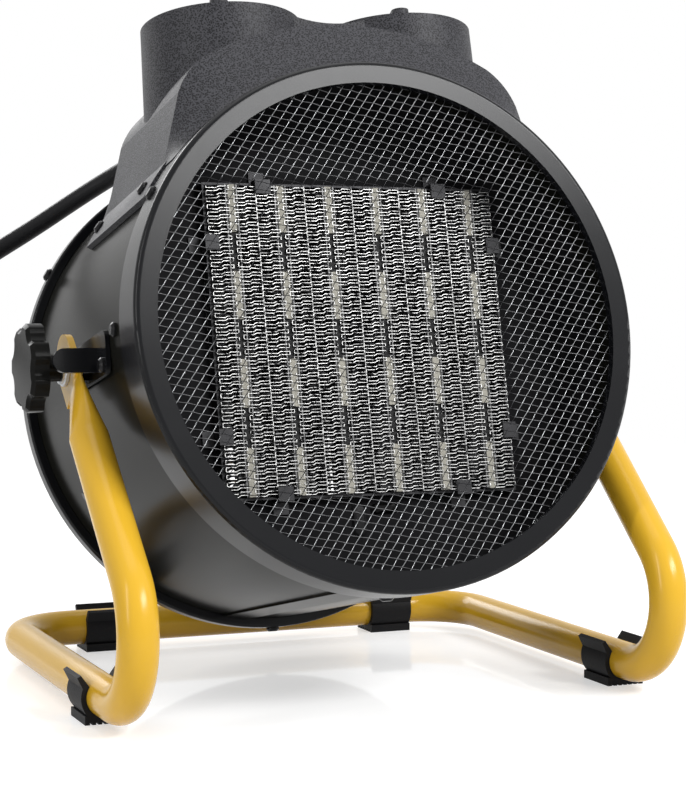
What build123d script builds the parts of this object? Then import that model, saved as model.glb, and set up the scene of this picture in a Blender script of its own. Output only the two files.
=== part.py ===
from build123d import *
import os
from math import cos, degrees, pi, radians, sin, sqrt, tan

os.makedirs("parts", exist_ok=True)

# A portable ceramic fan heater: a steel drum with a moulded control housing on top, held at its
# sides by a bent tube stand. Millimetres and degrees.
#
# Row frame: X to the heater's right as the room sees it from the front, the front faces -Y, +Z up,
# the origin on the floor under the middle of the heater.
# Drum frame: the origin at the centre of the front bezel's face, +Y to the back along the drum's
# axis, +Z up through the controls. Everything on the drum is drawn there and then tilted.

# ---------------------------------------------------------------- driving dimensions
# drum and front
bezel_radius = 115.0
bezel_face_width = 9.8
bezel_skirt_depth = 22.0
bezel_lip_depth = 4.0
sheet = 1.2
fit_gap = 0.15
drum_length = 178.6
seam_width = 12.0
seam_thickness = 0.8
seam_angle = 190.5
rear_rim_rise = 4.65
rear_rim_depth = 7.6
rear_face_width = 19.3

# mesh
front_wire = 0.6
front_pitch_steep = 3.8
front_pitch_flat = 3.3
front_angle_steep = 54.0
front_angle_flat = -11.0
rear_wire = 1.2
rear_pitch = 9.0
retainer_width = 5.0
retainer_thickness = 1.5

# heating core
core_side = 136.4
core_depth = 14.0
core_front = 35.3
core_columns = 6
stone_width = 4.6
stone_length = 21.0
stone_rows = 4
electrode_thickness = 0.5
fin_pitch = 6.2
fin_thickness = 0.7
core_frame_wall = 1.0
core_ledge = 3.0
tab_width = 7.0
tab_reach = 4.0
tab_thickness = 1.0
cutout_radius = 7.0

# baffle
baffle_back = 44.0
baffle_rim_depth = 18.0
baffle_slot_length = 14.0
baffle_slot_width = 5.0

# air mover
fan_radius = 98.0
fan_hub_radius = 22.0
fan_hub_length = 17.0
fan_centre = 84.0
fan_blades = 7
blade_thickness = 1.4
blade_root_pitch = 46.0
blade_tip_pitch = 24.0
blade_root_chord = 22.0
blade_tip_chord = 46.0
shaft_radius = 3.0
running_gap = 0.05
motor_radius = 30.0
motor_length = 44.0
motor_front = 101.0
strap_width = 20.0
strap_thickness = 1.6

# moulded top housing: rises are heights above the drum's surface, angles are from the top
housing_gap = 0.15
housing_overlap = 9.0
housing_crease = 25.0
housing_back = 112.0
housing_end = 118.0
housing_wall = 2.6
housing_rise = 26.2
housing_front_rise = 3.5
housing_end_rise = 20.0
crown_angle = 29.0
shoulder_angle = 32.4
shoulder_drop = 1.5
side_angle = 37.6
side_drop = 6.9
foot_angle = 51.5
foot_rise = 1.8
flange_outer_angle = 60.0
flange_thickness = 2.4
pod_offset = 43.2
pod_depth = 70.0
pod_rise = 37.35
pod_radius = 36.5
pod_height = 50.0
pod_draft = 1.5
pod_recess_depth = 7.0
pod_rim = 5.5
saddle_drop = 3.8
saddle_half_depth = 26.0
saddle_half_span = 20.0

# dials
dial_clearance = 0.8
dial_thickness = 5.2
grip_width = 9.0
grip_length = 54.0
grip_height = 12.2
thermostat_turn = -20.0
mode_turn = -14.0
control_shaft_radius = 3.0
thermostat_body_radius = 17.0
thermostat_body_height = 19.0
switch_body_side = 32.0
switch_body_height = 24.0

# stand
tube_diameter = 17.0
tube_wall = 1.2
leg_gap = 6.25
leg_lean = 48.9
bend_radius = 31.0
corner_radius = 30.0
crossbar_reach = 110.3
flat_width = 23.0
flat_thickness = 3.0
flat_length = 13.0
flat_tip = 4.4
flare_length = 30.0
clip_width = 22.0
clip_wall = 2.2
clip_base = 2.6
clip_teeth = 7
clip_tooth_depth = 1.2
clip_ear = 5.2
front_clip_left = -46.7
front_clip_right = -55.7
rear_clip_left = -74.0
rear_clip_right = 79.5

# tilt clamp
pivot_depth = 80.4
pivot_drop = 3.55
floor_clearance = 11.7
tilt_up = 12.6
bracket_length = 63.0
bracket_width = 19.0
bracket_thickness = 2.0
bracket_forward = 39.4
bracket_screw_inset = 5.8
bracket_screw_drop = 5.0
stop_tab_forward = 25.9
stop_tab_drop = 1.45
stop_tab_reach = 21.1
stop_tab_width = 10.5
nut_across_flats = 13.0
stud_radius = 4.0
stud_hole_gap = 0.3
washer_radius = 8.2
washer_thickness = 1.3
knob_radius = 19.4
knob_thickness = 8.0
knob_lobes = 7
knob_scallop_radius = 6.0
knob_hub_radius = 6.0
knob_hub_length = 8.5

# screws
screw_head_radius = 3.2
screw_head_height = 2.0
screw_shank_radius = 1.6
screw_length = 6.0
side_screw_angles = (-88.0, 88.0, 180.0)
bezel_screw_angle = 60.0
rear_screw_angles = (-60.0, 60.0, 180.0)
strap_angles = (-118.0, 118.0, 0.0)

# lead
cord_diameter = 9.0
relief_length = 30.0
relief_root_radius = 8.0
relief_angle = -23.0
relief_rise = 11.5
relief_lift = 5.0
first_run = 22.0
coil_mean_radius = 46.0
coil_turns_across = 3
coil_turns_high = 2
plug_radius = 18.5
plug_length = 34.0
plug_pin_radius = 2.4
plug_pin_length = 19.0
plug_pin_spacing = 19.0

# ---------------------------------------------------------------- worked-out sizes
bezel_inner_radius = bezel_radius - bezel_face_width
drum_radius = bezel_radius - sheet - fit_gap
drum_inner = drum_radius - sheet
tube_radius = tube_diameter / 2
leg_x = bezel_radius + leg_gap
tube_height = clip_base + fit_gap + tube_radius
flange_front = bezel_skirt_depth + housing_gap
housing_front = flange_front - housing_overlap
housing_floor = drum_radius + housing_gap
pod_top = drum_radius + pod_rise
relief_x = (drum_radius + relief_rise) * sin(radians(relief_angle))
relief_z = (drum_radius + relief_rise) * cos(radians(relief_angle))
mesh_front = bezel_lip_depth + fit_gap
retainer_front = mesh_front + 2 * front_wire + fit_gap
core_half = core_side / 2
frame_outer = core_half + fit_gap + core_frame_wall
column_width = core_side / core_columns
fin_width = (column_width - stone_width - 2 * electrode_thickness - electrode_thickness) / 2
rear_rim_radius = drum_radius + rear_rim_rise
rear_opening_radius = rear_rim_radius - rear_face_width
behind_pivot = drum_length - pivot_depth
low_rim = rear_rim_radius - pivot_drop
high_rim = rear_rim_radius + pivot_drop
pivot_height = floor_clearance + behind_pivot * sin(radians(tilt_up)) + low_rim * cos(radians(tilt_up))
floor_drop = pivot_height - tube_height
rear_corner_reach = behind_pivot * cos(radians(tilt_up)) + high_rim * sin(radians(tilt_up))
ear_height = tube_radius * 0.55
ear_x = sqrt((tube_radius + fit_gap) ** 2 - ear_height ** 2)
clip_reach = crossbar_reach + ear_x + clip_ear
bend_half_turn = radians(90 - leg_lean) / 2
bend_front = floor_drop * tan(radians(leg_lean)) - bend_radius / tan(bend_half_turn) + bend_radius + tube_radius
pivot_y = (bend_front - max(rear_corner_reach, clip_reach)) / 2


# ---------------------------------------------------------------- helpers
def in_row(shape):
    """Moves a shape from the drum frame to the row frame: tilted up about the pivot."""
    turn = Rotation(-tilt_up, 0, 0)
    return Pos(0, pivot_y, pivot_height) * turn * Pos(0, -pivot_depth, pivot_drop) * shape


def save(name, shape):
    export_step(shape, "parts/" + name + ".step")


def turned(points):
    """A ring revolved about the drum's axis from (radius, depth) corners, its start underneath."""
    return Rotation(0, 90, 0) * revolve(make_face(Polyline(*points, close=True)), Axis.Y)


def rod(radius, length, start, direction):
    """A round bar from a start point along a direction."""
    return extrude(Plane(origin=start, z_dir=direction) * Circle(radius), length)


def radial(angle, depth, radius):
    """A place on the drum whose Z points outward, at an angle from the top towards +X."""
    out = (sin(radians(angle)), 0, cos(radians(angle)))
    return Plane(origin=(radius * out[0], depth, radius * out[2]), x_dir=(0, 1, 0), z_dir=out).location


def pan_screw(length=screw_length):
    """A pan-head screw: its seat at z=0, its head above and its shank below."""
    head = Cylinder(screw_head_radius, screw_head_height, align=(Align.CENTER, Align.CENTER, Align.MIN))
    head = fillet(head.edges().group_by(Axis.Z)[-1], screw_head_height * 0.45)
    shank = Cylinder(screw_shank_radius, length, align=(Align.CENTER, Align.CENTER, Align.MAX))
    return head + shank


def screw_hole(depth=screw_length):
    return Cylinder(screw_shank_radius + running_gap, 2 * depth)


def group(pieces):
    return Compound([solid for piece in pieces for solid in piece.solids()])


# ---------------------------------------------------------------- places of the fasteners
side_screw_depth = baffle_back - baffle_rim_depth / 2 - sheet
side_screw_places = [radial(angle, side_screw_depth, drum_radius) for angle in side_screw_angles]
bezel_screw_depth = (bezel_lip_depth + bezel_skirt_depth) / 2 + sheet
bezel_screw_places = [radial(side * bezel_screw_angle, bezel_screw_depth, bezel_radius) for side in (-1, 1)]
rear_screw_depth = drum_length - rear_rim_depth / 2
rear_screw_places = [radial(angle, rear_screw_depth, rear_rim_radius) for angle in rear_screw_angles]
flange_angle = (foot_angle + flange_outer_angle) / 2
housing_screw_places = [
    radial(side * flange_angle, depth, housing_floor + flange_thickness)
    for side in (-1, 1)
    for depth in (flange_front + 14, housing_back - 8)
]
strap_depth = motor_front + motor_length + strap_thickness / 2 + fit_gap
strap_screw_depth = strap_depth - 9
strap_screw_places = [radial(angle, strap_screw_depth, drum_radius) for angle in strap_angles]
bracket_start = pivot_depth - bracket_forward
bracket_screw_depths = (bracket_start + bracket_screw_inset, bracket_start + bracket_length - bracket_screw_inset)
bracket_face = drum_radius + fit_gap + bracket_thickness


def bracket_screw_place(side, depth):
    height = -pivot_drop - bracket_screw_drop
    return Plane(origin=(side * bracket_face, depth, height), x_dir=(0, 1, 0), z_dir=(side, 0, 0)).location


# ---------------------------------------------------------------- drum
def front_bezel():
    inner_skirt = bezel_radius - sheet
    ring = turned([
        (bezel_radius, bezel_skirt_depth), (bezel_radius, 0), (bezel_inner_radius, 0),
        (bezel_inner_radius, bezel_lip_depth), (bezel_inner_radius + sheet, bezel_lip_depth),
        (bezel_inner_radius + sheet, sheet), (inner_skirt, sheet), (inner_skirt, bezel_skirt_depth),
    ])
    rim = [e for e in ring.edges() if abs(e.center().Y) < 1e-6 and e.length > 2 * pi * bezel_radius - 1]
    ring = fillet(rim, 2 * sheet)
    for place in bezel_screw_places:
        ring -= place * screw_hole()
    return ring


def drum_shell():
    front = sheet + fit_gap
    back = drum_length - sheet - fit_gap
    shell = turned([(drum_radius, front), (drum_radius, back), (drum_inner, back), (drum_inner, front)])
    seam_start = bezel_skirt_depth + 1
    seam_end = drum_length - rear_rim_depth - 1
    seam = radial(seam_angle, (seam_start + seam_end) / 2, drum_radius)
    seam = seam * Box(seam_end - seam_start, seam_width, 2 * seam_thickness)
    shell += seam - Rotation(90, 0, 0) * Cylinder(drum_inner + sheet / 2, 4 * drum_length)
    for place in side_screw_places + bezel_screw_places + strap_screw_places + rear_screw_places:
        shell -= place * screw_hole()
    for side in (-1, 1):
        stud_start = (side * (drum_inner - sheet), pivot_depth, -pivot_drop)
        shell -= rod(stud_radius + stud_hole_gap, 3 * sheet, stud_start, (side, 0, 0))
        for depth in bracket_screw_depths:
            shell -= bracket_screw_place(side, depth) * screw_hole()
    for place in housing_screw_places:
        shell -= place * screw_hole(2 * screw_length)
    wire_opening = Pos(0, pod_depth, drum_radius) * Box(56, 26, 4 * sheet)
    return shell - wire_opening


def rear_cover():
    """The ring behind the rear mesh: a face, a raised rim and a foot that closes the rim onto the drum."""
    foot = drum_radius + fit_gap
    rim_front = drum_length - rear_rim_depth
    ring = turned([
        (foot, rim_front + sheet), (foot, rim_front), (rear_rim_radius, rim_front), (rear_rim_radius, drum_length),
        (rear_opening_radius, drum_length), (rear_opening_radius, drum_length - bezel_lip_depth),
        (rear_opening_radius + sheet, drum_length - bezel_lip_depth),
        (rear_opening_radius + sheet, drum_length - sheet), (rear_rim_radius - sheet, drum_length - sheet),
        (rear_rim_radius - sheet, rim_front + sheet),
    ])
    rims = [e for e in ring.edges() if e.length > 2 * pi * rear_rim_radius - 1]
    ring = fillet(rims, sheet)
    for place in rear_screw_places:
        ring -= place * screw_hole()
    return ring


def wire_layer(radius, wire, pitch, angle, depth):
    """Straight square wires side by side across a circle, at an angle from horizontal."""
    count = int(radius / pitch)
    wires = []
    for step in range(-count, count + 1):
        across = step * pitch
        half_chord = sqrt(max(radius ** 2 - (abs(across) + wire) ** 2, 0))
        if half_chord > pitch:
            wires.append(Rotation(0, -angle, 0) * Pos(0, depth + wire / 2, across) * Box(2 * half_chord, wire, wire))
    return wires


def front_mesh():
    radius = drum_inner - fit_gap
    steep = wire_layer(radius, front_wire, front_pitch_steep, front_angle_steep, mesh_front)
    flat = wire_layer(radius, front_wire, front_pitch_flat, front_angle_flat, mesh_front + front_wire)
    return group(steep + flat)


def mesh_retainer():
    outer = drum_inner - fit_gap
    inner = outer - retainer_width
    back = retainer_front + retainer_thickness
    return turned([(outer, retainer_front), (outer, back), (inner, back), (inner, retainer_front)])


def rear_mesh():
    radius = drum_inner - fit_gap
    back = drum_length - bezel_lip_depth - fit_gap - 2 * rear_wire
    upright = wire_layer(radius, rear_wire, rear_pitch, 90, back)
    level = wire_layer(radius, rear_wire, rear_pitch, 0, back + rear_wire)
    return group(upright + level)


def rear_mesh_retainer():
    outer = drum_inner - fit_gap
    inner = outer - retainer_width
    back = drum_length - bezel_lip_depth - 2 * fit_gap - 2 * rear_wire
    front = back - retainer_thickness
    return turned([(outer, front), (outer, back), (inner, back), (inner, front)])


def side_screws():
    return group(place * pan_screw() for place in side_screw_places + bezel_screw_places)


def rear_screws():
    return group(place * pan_screw(rear_rim_radius - drum_inner) for place in rear_screw_places)


# ---------------------------------------------------------------- heating core and baffle
def baffle_plate():
    outer = drum_inner - fit_gap
    plate = turned([
        (0, baffle_back), (0, baffle_back - sheet), (outer - sheet, baffle_back - sheet),
        (outer - sheet, baffle_back - baffle_rim_depth), (outer, baffle_back - baffle_rim_depth),
        (outer, baffle_back),
    ])
    window = 2 * (frame_outer + fit_gap)
    plate -= Pos(0, baffle_back, 0) * Box(window, 4 * sheet, window)
    slot_face = Plane(origin=(-6, baffle_back + sheet, -frame_outer - 10), z_dir=(0, -1, 0))
    plate -= extrude(slot_face * SlotOverall(baffle_slot_length, baffle_slot_width), 4 * sheet)
    for place in side_screw_places + housing_screw_places:
        plate -= place * screw_hole(2 * screw_length)
    return plate


def core_frame():
    """An open square box round the core with a ledge behind it and feet in front on the baffle."""
    front = core_front + 2
    back = core_front + core_depth + fit_gap
    inner = 2 * (core_half + fit_gap)
    centre = (front + back + sheet) / 2
    box = Pos(0, centre, 0) * Box(2 * frame_outer, back + sheet - front, 2 * frame_outer)
    box -= Pos(0, (front + back) / 2, 0) * Box(inner, back - front, inner)
    box -= Pos(0, back, 0) * Box(inner - 2 * core_ledge, 4 * sheet, inner - 2 * core_ledge)
    return box


def fin_outline():
    """The zigzag of one corrugated strip, seen along the air's way: X across, Y along the strip."""
    turns = int(core_side / (fin_pitch / 2))
    step = core_side / turns
    flat = step * 0.28
    half = fin_width / 2 - fin_thickness / 2
    points = []
    for index in range(turns):
        side = half if index % 2 else -half
        start = -core_side / 2 + index * step
        points.append((side, start + flat / 2))
        points.append((side, start + step - flat / 2))
    return points


def fin_strip():
    line = fin_outline()
    left = [(x - fin_thickness / 2, y) for x, y in line]
    right = [(x + fin_thickness / 2, y) for x, y in line]
    face = make_face(Polyline(*left, *reversed(right), close=True))
    return extrude(Plane(origin=(0, core_front + core_depth, 0), x_dir=(1, 0, 0), z_dir=(0, -1, 0)) * face, core_depth)


def column_centres():
    return [-core_half + column_width * (index + 0.5) for index in range(core_columns)]


def core_fins():
    strip = fin_strip()
    offset = stone_width / 2 + electrode_thickness + fin_width / 2
    return group(Pos(x + side * offset, 0, 0) * strip for x in column_centres() for side in (-1, 1))


def electrodes():
    plate = Pos(0, core_front + core_depth / 2, 0) * Box(electrode_thickness, core_depth, core_side)
    offset = (stone_width + electrode_thickness) / 2
    edge = column_width / 2 - electrode_thickness / 4
    pieces = []
    for x in column_centres():
        pieces += [Pos(x + side * offset, 0, 0) * plate for side in (-1, 1)]
    for index in range(1, core_columns):
        pieces.append(Pos(-core_half + index * column_width, 0, 0) * plate)
    return group(pieces)


def stone_rows_z():
    """Heights of the stones' middles: the rows start at the core's top edge."""
    spacing = (core_side - stone_length) / (stone_rows - 1)
    return [core_half - stone_length / 2 - index * spacing for index in range(stone_rows)]


def ceramic_stones():
    stone = Pos(0, core_front + core_depth / 2, 0) * Box(stone_width, core_depth, stone_length)
    return group(Pos(x, 0, z) * stone for x in column_centres() for z in stone_rows_z())


def stone_spacers():
    rows = stone_rows_z()
    gap = rows[0] - rows[1] - stone_length
    spacer = Pos(0, core_front + core_depth / 2, 0) * Box(stone_width, core_depth - 2, gap)
    return group(Pos(x, 0, z - (stone_length + gap) / 2) * spacer for x in column_centres() for z in rows[:-1])


def core_tab():
    """A folded tab on the baffle that reaches over the core's front edge, at the core's top edge."""
    rise = frame_outer + fit_gap
    leg_front = core_front - fit_gap - tab_thickness
    leg = Box(tab_width, baffle_back - sheet - leg_front, tab_thickness, align=(Align.CENTER, Align.MIN, Align.MIN))
    hook_height = tab_reach + rise + tab_thickness - core_half
    hook = Box(tab_width, tab_thickness, hook_height, align=(Align.CENTER, Align.MIN, Align.MAX))
    foot = Box(tab_width, tab_thickness, 6, align=(Align.CENTER, Align.MAX, Align.MIN))
    tab = Pos(0, leg_front, rise) * leg + Pos(0, leg_front, rise + tab_thickness) * hook
    return tab + Pos(0, baffle_back - sheet, rise) * foot


def core_tabs():
    across = core_side * 0.31
    pieces = []
    for turn in (0, 90, 180, 270):
        for side in (-1, 1):
            pieces.append(Rotation(0, turn, 0) * Pos(side * across, 0, 0) * core_tab())
    return group(pieces)


def thermal_cutout():
    """The overheat cut-out: a round can with two blade contacts, on a lug over the core's frame."""
    start = baffle_back + fit_gap
    lug_length = 2 * cutout_radius + 2
    centre = Pos(0, start + lug_length / 2, frame_outer)
    upward = (Align.CENTER, Align.CENTER, Align.MIN)
    piece = centre * Box(2 * cutout_radius, lug_length, 1, align=upward)
    piece += centre * Cylinder(cutout_radius, 10, align=upward)
    piece += centre * Cylinder(cutout_radius - 1.5, 14, align=upward)
    for x in (-cutout_radius / 2, cutout_radius / 2):
        piece += centre * Pos(x, 0, 13) * Box(0.8, 6, 9, align=upward)
    return piece


# ---------------------------------------------------------------- air mover
def blade():
    """One twisted blade, lofted from a steep root to a flatter and wider tip."""
    sections = []
    for radius, chord, pitch in (
        (fan_hub_radius - 1, blade_root_chord, blade_root_pitch),
        ((fan_hub_radius + fan_radius) / 2, (blade_root_chord + blade_tip_chord) / 2, (blade_root_pitch + blade_tip_pitch) / 2),
        (fan_radius, blade_tip_chord, blade_tip_pitch),
    ):
        plane = Plane(origin=(0, fan_centre, radius), x_dir=(cos(radians(pitch)), sin(radians(pitch)), 0), z_dir=(0, 0, 1))
        sections.append(plane * RectangleRounded(chord, blade_thickness, blade_thickness * 0.3))
    return loft(sections)


def fan_rotor():
    front = fan_centre - fan_hub_length / 2
    back = fan_centre + fan_hub_length / 2
    bore = shaft_radius
    hub = turned([
        (bore, front + 4), (bore, back), (bore + 5, back), (bore + 5, front + 6),
        (fan_hub_radius - 2, front + 6), (fan_hub_radius - 2, back), (fan_hub_radius, back),
        (fan_hub_radius, front + 5), (fan_hub_radius - 5, front), (bore, front),
    ])
    rotor = hub
    for index in range(fan_blades):
        rotor += Rotation(0, index * 360 / fan_blades, 0) * blade()
    return rotor


def motor_shaft():
    start = fan_centre - fan_hub_length / 2 + 1
    return rod(shaft_radius, motor_front + motor_length - 4 - start, (0, start, 0), (0, 1, 0))


def fan_motor():
    """The motor's can: a bearing nose, the stack and the rear end bell with its bearing pocket."""
    bore = shaft_radius + running_gap
    back = motor_front + motor_length
    nose = 9.0
    can = turned([
        (bore, motor_front - 3), (nose, motor_front - 3), (nose, motor_front), (motor_radius - 4, motor_front),
        (motor_radius - 4, motor_front + 8), (motor_radius, motor_front + 10), (motor_radius, back - 10),
        (motor_radius - 4, back - 8), (motor_radius - 4, back), (0, back), (0, back - 3), (bore, back - 3),
    ])
    for x in (-20, 20):
        can -= Pos(x, back, 0) * Rotation(90, 0, 0) * Cylinder(screw_shank_radius + running_gap, 2 * screw_length)
    return can


def motor_bracket():
    """Three arms from a plate behind the motor out to feet on the drum's wall."""
    front = motor_front + motor_length + fit_gap
    outer = drum_inner - fit_gap
    plate = rod(motor_radius - 2, strap_thickness, (0, front, 0), (0, 1, 0))
    arm_length = outer - strap_thickness
    foot_length = 18.0
    for angle in strap_angles:
        arm = Box(strap_width, strap_thickness, arm_length, align=(Align.CENTER, Align.MIN, Align.MIN))
        foot = Pos(0, strap_thickness, outer) * Box(strap_width, foot_length, 6, align=(Align.CENTER, Align.MAX, Align.MAX))
        curve = Rotation(90, 0, 0) * Cylinder(outer, 8 * foot_length) - Rotation(90, 0, 0) * Cylinder(outer - strap_thickness, 8 * foot_length)
        plate += Rotation(0, angle, 0) * Pos(0, front, 0) * arm
        plate += (Rotation(0, angle, 0) * Pos(0, front, 0) * foot) & (Pos(0, front, 0) * curve)
    for place in strap_screw_places:
        plate -= place * screw_hole()
    for x in (-20, 20):
        plate -= Pos(x, front, 0) * Rotation(90, 0, 0) * Cylinder(screw_shank_radius + running_gap, 2 * screw_length)
    return plate


def motor_screws():
    back = motor_front + motor_length + fit_gap + strap_thickness
    pieces = [Pos(x, back, 0) * Rotation(-90, 0, 0) * pan_screw() for x in (-20, 20)]
    return group(pieces + [place * pan_screw() for place in strap_screw_places])


# ---------------------------------------------------------------- moulded top housing
def at(radius, angle):
    """A point of a cross-section, seen from the front, at an angle from the top towards +X."""
    return (radius * sin(radians(angle)), radius * cos(radians(angle)))


def section(depth, rise, floor_rise, inset=0):
    """A cross-section of the arched body: crown, rounded shoulders, straight sides and the drum's arc."""
    crown = drum_radius + rise
    scale = rise / housing_rise
    shoulder = crown - shoulder_drop * scale
    side_top = crown - side_drop * scale
    foot = drum_radius + foot_rise - inset
    lean = 0.3 * degrees(inset / drum_radius)
    floor = drum_radius + floor_rise
    edges = [ThreePointArc(at(crown, -crown_angle), at(crown, 0), at(crown, crown_angle))]
    for side in (1, -1):
        corner = side * (side_angle - lean)
        edges.append(ThreePointArc(at(crown, side * crown_angle), at(shoulder, side * shoulder_angle), at(side_top, corner)))
        edges.append(Line(at(side_top, corner), at(foot, side * (foot_angle - lean))))
        edges.append(Line(at(foot, side * (foot_angle - lean)), at(floor, side * (foot_angle - lean))))
    edges.append(ThreePointArc(at(floor, foot_angle - lean), at(floor, 0), at(floor, lean - foot_angle)))
    return Plane(origin=(0, depth, 0), x_dir=(1, 0, 0), z_dir=(0, -1, 0)) * make_face(edges)


def arched_body(stations, floor_rise, inset=0):
    faces = [section(depth, rise, floor_rise, inset) for depth, rise in stations]
    body = loft([faces[0], faces[1]], ruled=True)
    for first, second in zip(faces[1:], faces[2:]):
        body += loft([first, second], ruled=True)
    return body


def housing_outside():
    stations = [
        (housing_front, housing_front_rise), (housing_crease, housing_rise),
        (housing_back, housing_rise), (housing_end, housing_end_rise),
    ]
    return arched_body(stations, -2)


def housing_inside():
    wall = housing_wall
    stations = [
        (housing_front + wall, housing_front_rise - 0.15 * wall), (housing_crease + 0.6 * wall, housing_rise - wall),
        (housing_back - 0.4 * wall, housing_rise - wall), (housing_end - wall, housing_end_rise - 0.4 * wall),
    ]
    return arched_body(stations, -8, inset=wall)


def pod(radius, draft_height):
    """A round tower with a little draft, standing into the arched body."""
    base = radius + draft_height * tan(radians(pod_draft))
    bottom = Plane(origin=(0, pod_depth, pod_top - draft_height)) * Circle(base)
    top = Plane(origin=(0, pod_depth, pod_top)) * Circle(radius)
    return loft([bottom, top])


def saddle(inset):
    """The raised bridge between the two pods, dished from pod to pod."""
    top = pod_top - 0.4 - inset
    dip = pod_top - saddle_drop - inset
    half = saddle_half_depth - inset
    low = dip - 30
    outline = make_face([
        ThreePointArc((-saddle_half_span, top), (0, dip), (saddle_half_span, top)),
        Line((saddle_half_span, top), (pod_offset, top)), Line((pod_offset, top), (pod_offset, low)),
        Line((pod_offset, low), (-pod_offset, low)), Line((-pod_offset, low), (-pod_offset, top)),
        Line((-pod_offset, top), (-saddle_half_span, top)),
    ])
    return extrude(Plane(origin=(0, pod_depth + half, 0), x_dir=(1, 0, 0), z_dir=(0, -1, 0)) * outline, 2 * half)


def housing_flange(side):
    """The foot that lies on the drum along each side and takes the screws."""
    inner = housing_floor - 1
    outer = housing_floor + flange_thickness
    ring = turned([(inner, flange_front), (outer, flange_front), (outer, housing_back), (inner, housing_back)])
    start = foot_angle - 3
    reach = 1.2 * outer
    wedge_face = make_face(Polyline((0, 0), at(reach, start), at(reach, flange_outer_angle), close=True))
    wedge_plane = Plane(origin=(0, housing_back + 1, 0), x_dir=(1, 0, 0), z_dir=(0, -1, 0))
    piece = ring & extrude(wedge_plane * wedge_face, housing_back)
    return piece if side > 0 else mirror(piece, Plane.YZ)


def top_housing():
    downward = (Align.CENTER, Align.CENTER, Align.MAX)
    outside = housing_outside() + saddle(0)
    for side in (-1, 1):
        outside += Pos(side * pod_offset, 0, 0) * pod(pod_radius, pod_height)
        outside += housing_flange(side)
    body = outside - housing_inside() - saddle(2 * housing_wall)
    well_top = Pos(0, pod_depth, pod_top - pod_recess_depth - housing_wall)
    well = well_top * Cylinder(pod_radius - housing_wall, pod_height, align=downward)
    recess = Pos(0, pod_depth, pod_top) * Cylinder(pod_radius - pod_rim, 2 * pod_recess_depth)
    shaft_hole = Pos(0, pod_depth, pod_top) * Cylinder(control_shaft_radius + 0.4, 60)
    for side in (-1, 1):
        body -= Pos(side * pod_offset, 0, 0) * well
        body -= Pos(side * pod_offset, 0, 0) * recess
        body -= Pos(side * pod_offset, 0, 0) * shaft_hole
    lift = radians(relief_lift)
    relief_start = (relief_x, housing_end - 12 * cos(lift), relief_z - 12 * sin(lift))
    body -= rod(relief_root_radius - 2 + 2 * fit_gap, 24, relief_start, (0, cos(lift), sin(lift)))
    body -= rod(housing_floor, drum_length, (0, 0, 0), (0, 1, 0))
    body -= rod(bezel_radius + housing_gap, flange_front, (0, 0, 0), (0, 1, 0))
    for place in housing_screw_places:
        body -= place * screw_hole()
    return body


def housing_screws():
    return group(place * pan_screw(screw_length + flange_thickness) for place in housing_screw_places)


# ---------------------------------------------------------------- controls
pod_floor = pod_top - pod_recess_depth
control_base = pod_floor - housing_wall


def dial(side, turn):
    """A round dial on its shaft, with a raised grip across it that points a little aside."""
    radius = pod_radius - pod_rim - dial_clearance
    bottom = pod_floor + dial_clearance
    disc = Pos(0, 0, bottom) * Cylinder(radius, dial_thickness, align=(Align.CENTER, Align.CENTER, Align.MIN))
    disc = fillet(disc.edges().group_by(Axis.Z)[-1], 1.5)
    profile = Plane(origin=(0, 0, bottom + dial_thickness)) * SlotOverall(grip_length, grip_width, rotation=90 + turn)
    grip = extrude(profile, grip_height - dial_thickness, taper=4)
    knob = disc + grip
    knob -= Pos(0, 0, bottom) * Cylinder(control_shaft_radius, 2 * dial_thickness)
    return Pos(side * pod_offset, pod_depth, 0) * knob


def control_shaft(side):
    top = pod_floor + dial_clearance + dial_thickness
    low = control_base - fit_gap - 3
    return rod(control_shaft_radius, top - low, (side * pod_offset, pod_depth, low), (0, 0, 1))


def thermostat():
    """The thermostat's can under the left pod with its bush, hung from the pod's floor."""
    top = control_base - fit_gap
    can = Pos(0, 0, top) * Cylinder(thermostat_body_radius, thermostat_body_height, align=(Align.CENTER, Align.CENTER, Align.MAX))
    tail = Pos(0, 0, top - thermostat_body_height) * Box(8, 22, 3, align=(Align.CENTER, Align.CENTER, Align.MAX))
    body = can + tail
    body -= Pos(0, 0, top) * Cylinder(control_shaft_radius + running_gap, 6)
    return Pos(-pod_offset, pod_depth, 0) * body


def mode_switch():
    """The rotary switch under the right pod with its row of blade contacts."""
    top = control_base - fit_gap
    block = Pos(0, 0, top) * Box(switch_body_side, switch_body_side, switch_body_height * 0.7, align=(Align.CENTER, Align.CENTER, Align.MAX))
    block = fillet(block.edges().filter_by(Axis.Z), 3)
    for x in (-9, -3, 3, 9):
        blade_top = top - switch_body_height * 0.7
        block += Pos(x, 0, blade_top) * Box(0.8, 6, switch_body_height * 0.3, align=(Align.CENTER, Align.CENTER, Align.MAX))
    block -= Pos(0, 0, top) * Cylinder(control_shaft_radius + running_gap, 6)
    return Pos(pod_offset, pod_depth, 0) * block


def terminal_block():
    """Three connector cells side by side on the drum under the housing."""
    base = drum_radius + fit_gap
    width, depth, height = 30.0, 16.0, 12.0
    block = Pos(0, 100, base - 1) * Box(width, depth, height + 1, align=(Align.CENTER, Align.CENTER, Align.MIN))
    for x in (-10, 0, 10):
        block -= Pos(x, 100, base + height) * Cylinder(2.6, 10)
    block -= rod(base, 40, (0, 80, 0), (0, 1, 0))
    return block


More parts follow.
